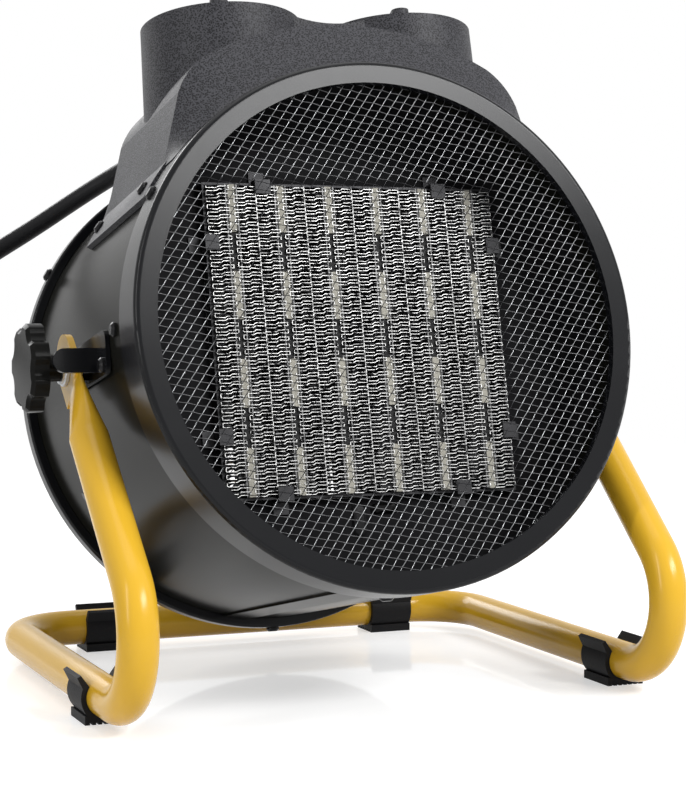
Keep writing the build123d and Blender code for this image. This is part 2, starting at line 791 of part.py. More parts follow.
# ---------------------------------------------------------------- tilt clamp
def side_bracket(side):
    """A plate on the drum's side with a tab folded outward, which stops the stand's leg."""
    face = drum_radius + fit_gap
    plate = Box(bracket_thickness, bracket_length, bracket_width, align=(Align.MIN, Align.MIN, Align.CENTER))
    plate = fillet(plate.edges().filter_by(Axis.X), 4)
    bracket = Pos(face, bracket_start, -pivot_drop) * plate
    tab_back = pivot_depth - stop_tab_forward + bracket_thickness
    tab_face = Plane(origin=(face, tab_back, -pivot_drop - stop_tab_drop), x_dir=(1, 0, 0), z_dir=(0, -1, 0))
    reach = stop_tab_reach
    tip = stop_tab_width / 2
    outline = make_face([
        Line((0, -tip), (reach - tip, -tip)),
        ThreePointArc((reach - tip, -tip), (reach, 0), (reach - tip, tip)),
        Line((reach - tip, tip), (0, tip)),
        Line((0, tip), (0, -tip)),
    ])
    bracket += extrude(tab_face * outline, bracket_thickness)
    hole_start = (face - bracket_thickness, pivot_depth, -pivot_drop)
    bracket -= rod(stud_radius + stud_hole_gap, 3 * bracket_thickness, hole_start, (1, 0, 0))
    for depth in bracket_screw_depths:
        bracket -= bracket_screw_place(1, depth) * screw_hole()
    return bracket if side > 0 else mirror(bracket, Plane.YZ)


def weld_nut(side):
    start = bracket_face
    length = leg_x - flat_thickness / 2 - fit_gap - start
    nut_face = Plane(origin=(start, pivot_depth, -pivot_drop), x_dir=(0, 1, 0), z_dir=(1, 0, 0))
    nut = extrude(nut_face * RegularPolygon(nut_across_flats / 2, 6, major_radius=False), length)
    nut -= rod(stud_radius + running_gap, 3 * length, (start - length, pivot_depth, -pivot_drop), (1, 0, 0))
    return nut if side > 0 else mirror(nut, Plane.YZ)


def bracket_screws(side):
    return group(bracket_screw_place(side, depth) * pan_screw() for depth in bracket_screw_depths)


knob_start = leg_x + flat_thickness / 2 + 2 * fit_gap + 2 * washer_thickness


def washers(side):
    """A plain washer and a spring washer outside the flattened tube end."""
    start = leg_x + flat_thickness / 2 + fit_gap
    pieces = []
    for index, radius in enumerate((washer_radius, washer_radius * 0.88)):
        ring = rod(radius, washer_thickness, (start + index * washer_thickness, pivot_depth, -pivot_drop), (1, 0, 0))
        ring -= rod(stud_radius + running_gap, 40, (start - 10, pivot_depth, -pivot_drop), (1, 0, 0))
        pieces.append(ring if side > 0 else mirror(ring, Plane.YZ))
    return group(pieces)


def knob_outline():
    outline = Circle(knob_radius)
    for index in range(knob_lobes):
        angle = index * 360 / knob_lobes
        outline -= Rotation(0, 0, angle) * Pos(knob_radius + knob_scallop_radius * 0.55, 0) * Circle(knob_scallop_radius)
    return fillet(outline.vertices(), 2.2)


def tilt_knob(side):
    """A lobed star knob with a hub, its outer face slightly domed."""
    plane = Plane(origin=(knob_start + knob_hub_length, pivot_depth, -pivot_drop), x_dir=(0, 0, 1), z_dir=(1, 0, 0))
    star = extrude(plane * knob_outline(), knob_thickness)
    star = chamfer(star.edges().group_by(Axis.X)[-1], 1.6)
    knob = star + rod(knob_hub_radius, knob_hub_length + 1, (knob_start, pivot_depth, -pivot_drop), (1, 0, 0))
    knob -= rod(stud_radius, knob_hub_length + knob_thickness - 3, (knob_start, pivot_depth, -pivot_drop), (1, 0, 0))
    return knob if side > 0 else mirror(knob, Plane.YZ)


def clamp_stud(side):
    start = drum_inner - 2
    end = knob_start + knob_hub_length + knob_thickness - 3
    stud = rod(stud_radius, end - start, (start, pivot_depth, -pivot_drop), (1, 0, 0))
    return stud if side > 0 else mirror(stud, Plane.YZ)


# ---------------------------------------------------------------- stand, drawn in the row frame
def leg_point(side, distance):
    """A point on a leg's centre line, at a distance down from the pivot."""
    lean = radians(leg_lean)
    return Vector(side * leg_x, pivot_y - distance * sin(lean), pivot_height - distance * cos(lean))


def stand_path(start):
    corner_y = pivot_y - floor_drop * tan(radians(leg_lean))
    rear_y = pivot_y + crossbar_reach
    points = [
        leg_point(-1, start), (-leg_x, corner_y, tube_height), (-leg_x, rear_y, tube_height),
        (leg_x, rear_y, tube_height), (leg_x, corner_y, tube_height), leg_point(1, start),
    ]
    return FilletPolyline(*points, radius=[bend_radius, corner_radius, corner_radius, bend_radius])


def leg_plane(side, distance):
    lean = radians(leg_lean)
    return Plane(origin=leg_point(side, distance), x_dir=(1, 0, 0), z_dir=(0, sin(lean), cos(lean)))


def flattened_end(side):
    """The tube's top: flared from round to flat, then a drilled strip with a rounded tip."""
    overlap = 1.0
    round_section = leg_plane(side, flat_length + flare_length) * Circle(tube_radius)
    middle_section = leg_plane(side, flat_length + flare_length * 0.45) * Ellipse(tube_radius * 0.55, flat_width * 0.46)
    flat_section = leg_plane(side, flat_length) * Ellipse(flat_thickness / 2, flat_width / 2)
    flare = loft([round_section, middle_section, flat_section])
    lean = radians(leg_lean)
    strip_plane = Plane(
        origin=(side * leg_x - flat_thickness / 2, pivot_y, pivot_height), x_dir=(0, -sin(lean), -cos(lean)), z_dir=(1, 0, 0))
    half = flat_width / 2
    strip_length = flat_length + overlap
    outline = make_face([
        Line((0, -half), (strip_length, -half)), Line((strip_length, -half), (strip_length, half)),
        Line((strip_length, half), (-flat_tip, half)),
        ThreePointArc((-flat_tip, half), (-flat_tip - half, 0), (-flat_tip, -half)),
        Line((-flat_tip, -half), (0, -half)),
    ])
    strip = extrude(strip_plane * outline, flat_thickness)
    hole = rod(stud_radius + stud_hole_gap, 4 * flat_thickness, (side * leg_x - 2 * flat_thickness, pivot_y, pivot_height), (1, 0, 0))
    return flare + strip - hole


def stand_tube():
    start = flat_length + flare_length
    path = stand_path(start)
    lean = radians(leg_lean)
    mouth = Plane(origin=leg_point(-1, start), x_dir=(1, 0, 0), z_dir=(0, -sin(lean), -cos(lean)))
    outer = sweep(mouth * Circle(tube_radius), path=path)
    inner = sweep(mouth * Circle(tube_radius - tube_wall), path=path)
    tube = outer + flattened_end(-1) + flattened_end(1)
    return tube - inner


def clip_profile():
    """A springy U round the tube with flared ears and a toothed sole, the tube's axis at the origin."""
    inner = tube_radius + fit_gap
    outer = inner + clip_wall
    sole_top = -tube_radius + 1
    band = Circle(outer) + Pos(0, (sole_top - tube_height) / 2) * Rectangle(2 * inner + 1, sole_top + tube_height)
    band -= Circle(inner)
    band -= Pos(0, ear_height + outer) * Rectangle(4 * outer, 2 * outer)
    for side in (-1, 1):
        band += make_face(Polyline(
            (side * ear_x, ear_height), (side * ear_x, ear_height - 2), (side * (ear_x + clip_wall), ear_height - 2),
            (side * (ear_x + clip_ear), ear_height + 4), (side * (ear_x + clip_ear - 1.6), ear_height + 5), close=True,
        ))
    pitch = (2 * inner + 1) / clip_teeth
    for index in range(clip_teeth - 1):
        x = (index - (clip_teeth - 2) / 2) * pitch
        band -= Pos(x, -tube_height) * Rectangle(pitch * 0.4, 2 * clip_tooth_depth)
    band -= Circle(inner)
    return band


def foot_clip(plane):
    return extrude(plane * clip_profile(), clip_width / 2, both=True)


def front_clip(side, reach):
    plane = Plane(origin=(side * leg_x, pivot_y + reach, tube_height), x_dir=(1, 0, 0), z_dir=(0, -1, 0))
    return foot_clip(plane)


def rear_clip(x):
    plane = Plane(origin=(x, pivot_y + crossbar_reach, tube_height), x_dir=(0, 1, 0), z_dir=(1, 0, 0))
    return foot_clip(plane)


# ---------------------------------------------------------------- lead
relief_root = housing_end + housing_gap + relief_root_radius * sin(radians(relief_lift))


def strain_relief():
    """A tapered sleeve with a collar outside and a neck inside the housing's rear wall, lifted a little."""
    bore = cord_diameter / 2
    neck = relief_root_radius - 2
    sleeve = revolve(make_face(Polyline(
        (bore, -6), (neck, -6), (neck, 0), (relief_root_radius, 0), (relief_root_radius, 3),
        (relief_root_radius - 1.2, 4), (bore + 1.2, relief_length), (bore, relief_length), close=True,
    )), Axis.Y)
    return Pos(relief_x, relief_root, relief_z) * Rotation(relief_lift, 0, 0) * sleeve


def relief_point(distance):
    """A point on the sleeve's axis, in the row frame, at a distance behind its collar."""
    lift = radians(relief_lift)
    point = Vertex(relief_x, relief_root + distance * cos(lift), relief_z + distance * sin(lift))
    return in_row(point).center()


cord_floor = cord_diameter / 2 + 0.2
# The lead's way through the air and onto the floor after its sleeve, chosen by hand, in the row frame.
cord_points = [
    (-59, 129, 237.5), (-75.5, 141, 225.5), (-98.5, 147.5, 209), (-124, 150, 193), (-153, 150.5, 172),
    (-183, 149.5, 143.5), (-211, 150, 109), (-237, 152, 72), (-262, 154.5, 39.5), (-292, 155, 16.5),
    (-330, 153, cord_floor), (-350, 153, cord_floor),
]


def cord_route():
    start = relief_point(relief_length)
    ahead = relief_point(relief_length + first_run)
    return [start, ahead] + [Vector(*point) for point in cord_points]


def cord_radii(points):
    """Each corner's arc is as large as its two runs allow."""
    radii = []
    for before, here, after in zip(points, points[1:], points[2:]):
        run_in, run_out = here - before, after - here
        turn = radians(run_in.get_angle(run_out))
        radii.append(0.45 * min(run_in.length, run_out.length) / tan(turn / 2))
    return radii


def cord_tube():
    points = cord_route()
    radii = cord_radii(points)
    print("cord radii", [round(radius) for radius in radii])
    path = FilletPolyline(*points, radius=radii)
    section = Plane(origin=points[0], z_dir=points[1] - points[0]) * Circle(cord_diameter / 2)
    tube = sweep(section, path=path)
    print("cord length", round(path.length), "volume ratio", round(tube.volume / (path.length * pi * cord_diameter ** 2 / 4), 4))
    return tube


coil_end = Vector(*cord_points[-1])
coil_reach = coil_mean_radius * 0.8
coil_outer_track = coil_mean_radius + cord_diameter * (coil_turns_across - 1) / 2
coil_centre = Vector(coil_end.X - coil_reach, coil_end.Y - coil_outer_track, 0)
tail_height = 0.1 + cord_diameter * (coil_turns_high - 0.5)
plug_cable_end = Vector(coil_centre.X - coil_outer_track, coil_centre.Y - 62, plug_radius + 0.1)


def cord_coil():
    """The rest of the lead, loosely coiled on the floor: its outer shape with a tail at each end."""
    across = coil_turns_across * cord_diameter
    high = coil_turns_high * cord_diameter
    turns = Pos(coil_mean_radius, 0.1 + high / 2) * RectangleRounded(across, high, cord_diameter * 0.4)
    ring = Pos(coil_centre) * revolve(Plane.XZ * turns, Axis.Z)
    lead_in = rod(cord_diameter / 2, coil_reach, coil_end, (-1, 0, 0))
    x = plug_cable_end.X
    tail_path = FilletPolyline(
        (x, coil_centre.Y + 4, tail_height), (x, coil_centre.Y - 14, tail_height),
        (x, coil_centre.Y - 46, plug_cable_end.Z), plug_cable_end, radius=45)
    tail_section = Plane(origin=(x, coil_centre.Y + 4, tail_height), z_dir=(0, -1, 0)) * Circle(cord_diameter / 2)
    return ring + lead_in + sweep(tail_section, path=tail_path)


def plug_location():
    """The plug lies on the floor beside the coil, its pins towards the front."""
    return Location(plug_cable_end, (0, 0, 180))


def plug_body():
    """A round two-pin plug: a ribbed grip that narrows to its cable, and a flat face for the pins."""
    body = revolve(make_face(Polyline(
        (0, 0), (cord_diameter / 2 + 1.2, 0), (cord_diameter / 2 + 2.5, 8), (plug_radius * 0.8, 14), (plug_radius, 20),
        (plug_radius, plug_length), (0, plug_length), close=True,
    )), Axis.Y)
    for side in (-1, 1):
        body -= rod(plug_pin_radius, 8, (side * plug_pin_spacing / 2, plug_length - 8, 0), (0, 1, 0))
    return plug_location() * body


def plug_pins():
    pins = [
        rod(plug_pin_radius, 8 + plug_pin_length, (side * plug_pin_spacing / 2, plug_length - 8, 0), (0, 1, 0))
        for side in (-1, 1)
    ]
    return plug_location() * group(pins)


# ---------------------------------------------------------------- the nodes
drum_nodes = {
    "front_bezel": front_bezel(), "drum_shell": drum_shell(), "rear_cover": rear_cover(),
    "front_mesh": front_mesh(), "mesh_retainer": mesh_retainer(), "rear_mesh": rear_mesh(),
    "rear_mesh_retainer": rear_mesh_retainer(), "side_screws": side_screws(), "rear_screws": rear_screws(),
    "baffle_plate": baffle_plate(), "core_frame": core_frame(), "core_fins": core_fins(),
    "electrodes": electrodes(), "ceramic_stones": ceramic_stones(), "stone_spacers": stone_spacers(),
    "core_tabs": core_tabs(), "thermal_cutout": thermal_cutout(),
    "fan_rotor": fan_rotor(), "motor_shaft": motor_shaft(), "fan_motor": fan_motor(),
    "motor_bracket": motor_bracket(), "motor_screws": motor_screws(),
    "top_housing": top_housing(), "housing_screws": housing_screws(),
    "thermostat_dial": dial(-1, thermostat_turn), "mode_dial": dial(1, mode_turn),
    "thermostat_shaft": control_shaft(-1), "switch_shaft": control_shaft(1),
    "thermostat": thermostat(), "mode_switch": mode_switch(), "terminal_block": terminal_block(),
    "strain_relief": strain_relief(),
}
for side, word in ((-1, "left"), (1, "right")):
    drum_nodes["bracket_" + word] = side_bracket(side)
    drum_nodes["bracket_screws_" + word] = bracket_screws(side)
    drum_nodes["weld_nut_" + word] = weld_nut(side)
    drum_nodes["washers_" + word] = washers(side)
    drum_nodes["tilt_knob_" + word] = tilt_knob(side)
    drum_nodes["clamp_stud_" + word] = clamp_stud(side)

for name, shape in drum_nodes.items():
    save(name, in_row(shape))

save("stand_tube", stand_tube())
save("foot_front_left", front_clip(-1, front_clip_left))
save("foot_front_right", front_clip(1, front_clip_right))
save("foot_rear_left", rear_clip(rear_clip_left))
save("foot_rear_right", rear_clip(rear_clip_right))
save("cord_tube", cord_tube())
save("cord_coil", cord_coil())
save("plug_body", plug_body())
save("plug_pins", plug_pins())
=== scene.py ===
# %% [markdown]
# # A forced air heater in its frame
# The object is a portable ceramic fan heater: a black steel drum with a meshed front, a moulded
# control housing on top, and a yellow bent tube stand that lets the drum tilt.
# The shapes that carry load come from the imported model. They are loaded first and never moved, and
# everything made here is placed against them, in metres.

import math
from functools import partial

import bmesh
import bpy
from mathutils import Matrix, Vector


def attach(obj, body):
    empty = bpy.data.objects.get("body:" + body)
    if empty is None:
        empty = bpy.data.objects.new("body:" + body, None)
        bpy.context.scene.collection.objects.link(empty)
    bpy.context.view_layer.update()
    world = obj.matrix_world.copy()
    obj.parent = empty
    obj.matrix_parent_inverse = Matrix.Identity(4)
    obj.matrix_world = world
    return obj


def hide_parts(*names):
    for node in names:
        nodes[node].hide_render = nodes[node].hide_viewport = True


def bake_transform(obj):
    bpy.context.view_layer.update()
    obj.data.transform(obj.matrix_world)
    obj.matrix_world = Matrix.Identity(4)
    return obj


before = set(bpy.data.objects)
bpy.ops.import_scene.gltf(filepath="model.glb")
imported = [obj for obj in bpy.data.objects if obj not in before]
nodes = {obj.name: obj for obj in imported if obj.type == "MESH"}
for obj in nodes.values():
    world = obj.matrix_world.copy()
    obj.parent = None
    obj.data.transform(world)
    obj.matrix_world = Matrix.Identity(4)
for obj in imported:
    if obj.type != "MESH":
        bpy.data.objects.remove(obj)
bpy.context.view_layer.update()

# %% [markdown]
# ## The photographer's camera
# The photograph looks at the front from the left and from low down, with a long lens. A camera is an
# object with a matrix, so its place and its three directions can be written down directly: right, up
# and backwards are the first three columns, and the place is the fourth.

# %% Camera
def put_in_scene(name, data):
    """An object for a mesh, a lamp or a camera, linked to the scene."""
    thing = bpy.data.objects.new(name, data)
    bpy.context.scene.collection.objects.link(thing)
    return thing


camera_place = Vector((-0.3515, -0.8546, 0.1821))
camera_ahead = Vector((0.3902, 0.9190, -0.0579)).normalized()
camera_right = camera_ahead.cross(Vector((0.0181, 0.0552, 0.9984))).normalized()
camera_up = camera_right.cross(camera_ahead)

camera_data = bpy.data.cameras.new("photo_camera")
camera_data.lens = 90.0
camera_data.sensor_width = 36.0
camera = put_in_scene("photo_camera", camera_data)
camera_matrix = Matrix((camera_right, camera_up, -camera_ahead)).transposed().to_4x4()
camera_matrix.translation = camera_place
camera.matrix_world = camera_matrix
bpy.context.scene.camera = camera
print("camera at", tuple(round(v, 3) for v in camera_place))

# %% [markdown]
# ## The lead
# A mains lead is one length of round rubber cable. It leaves the sleeve behind the housing, sags to
# the floor and is put away in a coil with its plug. One NURBS curve makes all of it: its control
# points are the lead's way through the air, and the coil's turns are more points of the same curve,
# worked out by a loop. A quadratic curve runs inside its control points, so the turns' points stand
# a little further out than the cable does.

# %% The lead's way through the air
cord_diameter = 0.009
cord_floor = cord_diameter / 2 + 0.0002
cord_points = [
    (-0.0489, 0.0868, 0.2487), (-0.0489, 0.1086, 0.2458),
    (-0.059, 0.129, 0.2375), (-0.0755, 0.141, 0.2255), (-0.0985, 0.1475, 0.209), (-0.124, 0.150, 0.193),
    (-0.153, 0.1505, 0.172), (-0.183, 0.1495, 0.1435), (-0.211, 0.150, 0.109), (-0.237, 0.152, 0.072),
    (-0.262, 0.1545, 0.0395), (-0.292, 0.155, 0.0165), (-0.330, 0.153, cord_floor),
    (-0.350, 0.153, cord_floor),
]
print("the lead starts at", cord_points[0], "and meets the floor at", cord_points[-2][:2])

# %% The coil and the plug's end
# Each turn's radius and the layer it lies in: inwards on the floor and out again on top.
coil_turns = [(0.055, 0), (0.046, 0), (0.037, 0), (0.037, 1), (0.046, 1), (0.055, 1)]
outer_turn = coil_turns[0][0]
coil_past_arrival = 0.0368
coil_centre = Vector((cord_points[-1][0] - coil_past_arrival, cord_points[-1][1] - outer_turn, 0))
points_per_turn = 16
step_angle = 2 * math.pi / points_per_turn
keeps, changes = 0.7, 0.3  # the shares of a turn at its own radius and on the way to the next turn's


def coil_point(step):
    """A control point of the coil, counted round from where the lead arrives at the coil's back."""
    turn = min(step // points_per_turn, len(coil_turns) - 1)
    after = min(turn + 1, len(coil_turns) - 1)
    share = max((step / points_per_turn - turn - keeps) / changes, 0) if after > turn else 0
    radius, layer = (a + (b - a) * share for a, b in zip(coil_turns[turn], coil_turns[after]))
    angle = math.pi / 2 + (step + 0.5) * step_angle
    away = radius / math.cos(step_angle / 2)
    height = cord_floor + layer * cord_diameter
    return (coil_centre.x + away * math.cos(angle), coil_centre.y + away * math.sin(angle), height)


turns_laid = 5.25
coil_points = [coil_point(step) for step in range(int(turns_laid * points_per_turn))]
plug_end = Vector((coil_centre.x - outer_turn, coil_centre.y - 0.062, 0.0186))
tail_points = [
    (plug_end.x, coil_centre.y - 0.014, 0.0137), (plug_end.x, coil_centre.y - 0.046, plug_end.z),
    tuple(plug_end),
]
print("coil control points", len(coil_points))

# %% Draw the lead
cord_curve = bpy.data.curves.new("lead", "CURVE")
cord_curve.dimensions = "3D"
cord_curve.bevel_depth = cord_diameter / 2
cord_curve.bevel_resolution = 5
cord_curve.resolution_u = 6
cord_curve.use_fill_caps = True
cord_spline = cord_curve.splines.new("NURBS")
route = cord_points + coil_points + tail_points
cord_spline.points.add(len(route) - 1)
for point, place in zip(cord_spline.points, route):
    point.co = (*place, 1.0)
cord_spline.order_u = 3
cord_spline.use_endpoint_u = True
curve_object = bpy.data.objects.new("lead_curve", cord_curve)
lead = put_in_scene("lead", bpy.data.meshes.new_from_object(curve_object))

# The same curve without its thickness is the lead's own line.
cord_curve.bevel_depth = 0
line_mesh = bpy.data.meshes.new_from_object(curve_object)
bpy.data.objects.remove(curve_object)

# %% [markdown]
# ## Node trees in few words
# Materials and repeated shapes are both node trees. A few helpers keep them short: one starts a tree
# with named sockets, one adds a node and connects it, two do arithmetic and one takes a vector apart.

# %% Helpers for node trees
def new_tree(kind, name, inputs, outputs):
    """A node tree with its named sockets, the values that come in and the sockets that lead out."""
    tree = bpy.data.node_groups.new(name, kind)
    for label, (socket_kind, value) in inputs.items():
        socket = tree.interface.new_socket(name=label, in_out="INPUT", socket_type="NodeSocket" + socket_kind)
        if value is not None:
            socket.default_value = value
    for label, socket_kind in outputs.items():
        tree.interface.new_socket(name=label, in_out="OUTPUT", socket_type="NodeSocket" + socket_kind)
    return tree, tree.nodes.new("NodeGroupInput").outputs, tree.nodes.new("NodeGroupOutput").inputs


def add(tree, kind, links=None, **settings):
    """A node with its settings, whose named inputs get a value or a link from an output."""
    node = tree.nodes.new(kind)
    for label, value in settings.items():
        setattr(node, label, value)
    for label, value in (links or {}).items():
        if isinstance(value, bpy.types.NodeSocket):
            tree.links.new(value, node.inputs[label])
        else:
            node.inputs[label].default_value = value
    return node


def calc(tree, operation, *values):
    """One step of arithmetic on sockets and numbers."""
    return add(tree, "ShaderNodeMath", dict(enumerate(values)), operation=operation).outputs[0]


def calc_vector(tree, operation, *values):
    """One step of arithmetic on vectors."""
    return add(tree, "ShaderNodeVectorMath", dict(enumerate(values)), operation=operation).outputs[0]


def parts_of(tree, vector):
    """The X, Y and Z of a vector as three outputs."""
    return add(tree, "ShaderNodeSeparateXYZ", {"Vector": vector}).outputs


# %% [markdown]
# ## Shared finishes
# Three effects turn up on several materials, so each is a node group with named inputs that is built
# once. Grain gives the fine bump of moulded plastic, rubber and ceramic. Wipe marks vary the
# roughness in soft, broad patches, which is what makes a glossy coat look touched rather than
# computed. Dust gathers as a pale haze on faces that look up.

# %% Fine grain
def object_place(tree):
    """A point's place in its object's own frame."""
    return add(tree, "ShaderNodeTexCoord").outputs["Object"]


def grain_group():
    group, start, end = new_tree(
        "ShaderNodeTree", "Fine grain", {"Scale": ("Float", 900.0)}, {"Normal": "Vector", "Speckle": "Float"})
    place = object_place(group)
    noise = add(group, "ShaderNodeTexNoise", {"Vector": place, "Scale": start["Scale"], "Detail": 2.0})
    cells = add(group, "ShaderNodeTexVoronoi", {"Vector": place, "Scale": start["Scale"]})
    height = calc(group, "MULTIPLY", noise.outputs["Fac"], cells.outputs["Distance"])
    bump = add(group, "ShaderNodeBump", {"Height": height, "Distance": 0.0003, "Strength": 0.5})
    group.links.new(bump.outputs["Normal"], end["Normal"])
    group.links.new(cells.outputs["Distance"], end["Speckle"])
    return group


grain = grain_group()
print("shader group", grain.name)


# %% Wipe marks
def wipe_group():
    group, start, end = new_tree(
        "ShaderNodeTree", "Wipe marks",
        {"Scale": ("Float", 14.0), "Low": ("Float", 0.2), "High": ("Float", 0.35)}, {"Roughness": "Float"})
    noise = add(group, "ShaderNodeTexNoise", {
        "Vector": object_place(group), "Scale": start["Scale"], "Detail": 5.0, "Roughness": 0.6})
    spread = add(group, "ShaderNodeMapRange", {
        "Value": noise.outputs["Fac"], "From Min": 0.35, "From Max": 0.65,
        "To Min": start["Low"], "To Max": start["High"]})
    group.links.new(spread.outputs["Result"], end["Roughness"])
    return group


wipe_marks = wipe_group()
print("shader group", wipe_marks.name)


# %% Settled dust
def dust_group():
    group, start, end = new_tree(
        "ShaderNodeTree", "Settled dust",
        {"Color": ("Color", (0.05, 0.05, 0.05, 1)), "Amount": ("Float", 0.05)}, {"Color": "Color"})
    upward = parts_of(group, add(group, "ShaderNodeNewGeometry").outputs["Normal"])["Z"]
    lies = add(group, "ShaderNodeMapRange", {"Value": upward, "From Min": 0.2}).outputs["Result"]
    noise = add(group, "ShaderNodeTexNoise", {"Vector": object_place(group), "Scale": 60.0, "Detail": 4.0})
    amount = calc(group, "MULTIPLY", lies, start["Amount"])
    patch = calc(group, "MULTIPLY", amount, noise.outputs["Fac"])
    mix = add(group, "ShaderNodeMix", {
        "Factor": patch, "A": start["Color"], "B": (0.42, 0.41, 0.39, 1)}, data_type="RGBA")
    group.links.new(mix.outputs["Result"], end["Color"])
    return group


settled_dust = dust_group()
print("shader group", settled_dust.name)

# %% [markdown]
# ## The finishes
# Every finish is one Principled shader. What stays the same all over a surface is set on the shader's
# own sockets. What varies comes from the groups: colour through the dust, roughness through the wipe
# marks and the normal through the grain.

# %% A finish
def finish(name, color, roughness=(0.3, 0.45), metallic=0.0, grain_scale=None, dust=0.0,
           wipe_scale=14.0, ior=1.45, speckle=None):
    """A material from one Principled shader and the three shared effects."""
    material = bpy.data.materials.new(name)
    material.use_nodes = True
    tree = material.node_tree
    shader = tree.nodes["Principled BSDF"].inputs
    shader["Base Color"].default_value = (*color, 1)
    shader["Metallic"].default_value = metallic
    shader["IOR"].default_value = ior
    low, high = roughness
    marks = add(tree, "ShaderNodeGroup", node_tree=wipe_marks)
    for label, value in (("Scale", wipe_scale), ("Low", low), ("High", high)):
        marks.inputs[label].default_value = value
    tree.links.new(marks.outputs["Roughness"], shader["Roughness"])
    if grain_scale:
        skin = add(tree, "ShaderNodeGroup", node_tree=grain)
        skin.inputs["Scale"].default_value = grain_scale
        tree.links.new(skin.outputs["Normal"], shader["Normal"])
    if speckle:
        spots = add(tree, "ShaderNodeMapRange", {
            "Value": skin.outputs["Speckle"], "From Min": 0.25, "From Max": 0.65})
        tint = add(tree, "ShaderNodeMix", {
            "Factor": spots.outputs["Result"], "A": (*color, 1), "B": (*speckle, 1)}, data_type="RGBA")
        tree.links.new(tint.outputs["Result"], shader["Base Color"])
    if dust:
        haze = add(tree, "ShaderNodeGroup", node_tree=settled_dust)
        haze.inputs["Color"].default_value = (*color, 1)
        haze.inputs["Amount"].default_value = dust
        tree.links.new(haze.outputs["Color"], shader["Base Color"])
    return material


# %% Make the materials
yellow_enamel = finish("yellow_enamel", (0.74, 0.43, 0.028), (0.18, 0.24), dust=0.01, ior=1.34)
black_enamel = finish("black_enamel", (0.005, 0.0053, 0.0065), (0.20, 0.24), ior=1.28)
drum_enamel = finish("drum_enamel", (0.008, 0.008, 0.0065), (0.20, 0.22), wipe_scale=5, ior=1.12)
black_plastic = finish("black_plastic", (0.004, 0.004, 0.005), (0.46, 0.54), grain_scale=1250, ior=1.28,
                       speckle=(0.055, 0.055, 0.062))
knob_plastic = finish("knob_plastic", (0.010, 0.010, 0.0095), (0.16, 0.2), ior=1.12)
black_rubber = finish("black_rubber", (0.010, 0.010, 0.011), (0.5, 0.6), grain_scale=1200, dust=0.01,
                      ior=1.22)
cable_rubber = finish("cable_rubber", (0.010, 0.010, 0.011), (0.4, 0.5), grain_scale=900, dust=0.01,
                      ior=1.22)
zinc_steel = finish("zinc_steel", (0.62, 0.63, 0.65), (0.28, 0.42), metallic=1.0, wipe_scale=120)
black_steel = finish("black_steel", (0.014, 0.014, 0.015), (0.14, 0.2), metallic=0.3, wipe_scale=150,
                     ior=1.25)
frame_steel = finish("frame_steel", (0.035, 0.035, 0.037), (0.4, 0.5), metallic=0.5, wipe_scale=90,
                     ior=1.3)
mesh_steel = finish("mesh_steel", (0.78, 0.79, 0.8), (0.25, 0.35), metallic=1.0, wipe_scale=200)
motor_steel = finish("motor_steel", (0.3, 0.31, 0.33), (0.35, 0.5), metallic=0.9, wipe_scale=60)
fan_aluminium = finish("fan_aluminium", (0.7, 0.71, 0.73), (0.3, 0.45), metallic=1.0, wipe_scale=50)
core_aluminium = finish("core_aluminium", (0.14, 0.14, 0.14), (0.4, 0.5), metallic=0.7, wipe_scale=260)
stone_ceramic = finish("stone_ceramic", (0.40, 0.385, 0.33), (0.6, 0.75), grain_scale=700, wipe_scale=90)
dark_silicone = finish("dark_silicone", (0.02, 0.02, 0.02), (0.5, 0.65), grain_scale=800, ior=1.25)
dark_phenolic = finish("dark_phenolic", (0.03, 0.022, 0.018), (0.3, 0.45), wipe_scale=60)
white_nylon = finish("white_nylon", (0.72, 0.72, 0.68), (0.4, 0.55), wipe_scale=60)
brass_pins = finish("brass_pins", (0.75, 0.6, 0.32), (0.2, 0.32), metallic=1.0, wipe_scale=150)
# The hood's near-black colour is painted shade.
hood_painted_shade = finish("hood_painted_shade", (0.002, 0.002, 0.002), (0.3, 0.4), ior=1.2)
inner_black = finish("inner_black", (0.011, 0.011, 0.012), (0.5, 0.65), wipe_scale=30, ior=1.1)
print("materials", len(bpy.data.materials))

# %% [markdown]
# ## The stones in the strip's shade
# The ceramic stones stand in upright columns, and the folded strip on both sides laps over their
# edges. The strip's shade on the stones' edges is painted into their colour, so that only the middle
# of each stone is light. A ping-pong of the sideways place gives the distance from the nearest
# column's middle, and that distance chooses between the stone's colour and the painted shade.

# %% Shade the stones' edges
column_pitch = 0.0227333
light_half_width = 0.0016
# Painted shade: the dark colour of the stones' edges in the strip's shade.
painted_stone_shade = (0.025, 0.025, 0.024, 1)


def paint_shade_on_edges(material, half_width, blur=0.0002):
    """Keeps a material's colour only along the middle of each column of stones, and paints shade on the rest.
    """
    tree = material.node_tree
    base_color = tree.nodes["Principled BSDF"].inputs["Base Color"]
    sideways = parts_of(tree, object_place(tree))["X"]
    away = calc(tree, "PINGPONG", calc(tree, "SUBTRACT", sideways, column_pitch / 2), column_pitch / 2)
    light = add(tree, "ShaderNodeMapRange", {
        "Value": away, "From Min": half_width + blur, "From Max": half_width - blur})
    mix = add(tree, "ShaderNodeMix", {
        "Factor": light.outputs["Result"], "A": painted_stone_shade, "B": base_color.default_value}, data_type="RGBA")
    tree.links.new(mix.outputs["Result"], base_color)


# Paints shade on the stones' edges.
paint_shade_on_edges(stone_ceramic, light_half_width)
print("the stones stay light over", round(2000 * light_half_width, 1), "mm")

# %% [markdown]
# ## Dressing the solids
# A node of the frame keeps its mesh. Only its material slots are filled, so a table from material to
# the nodes that wear it is all this step needs.

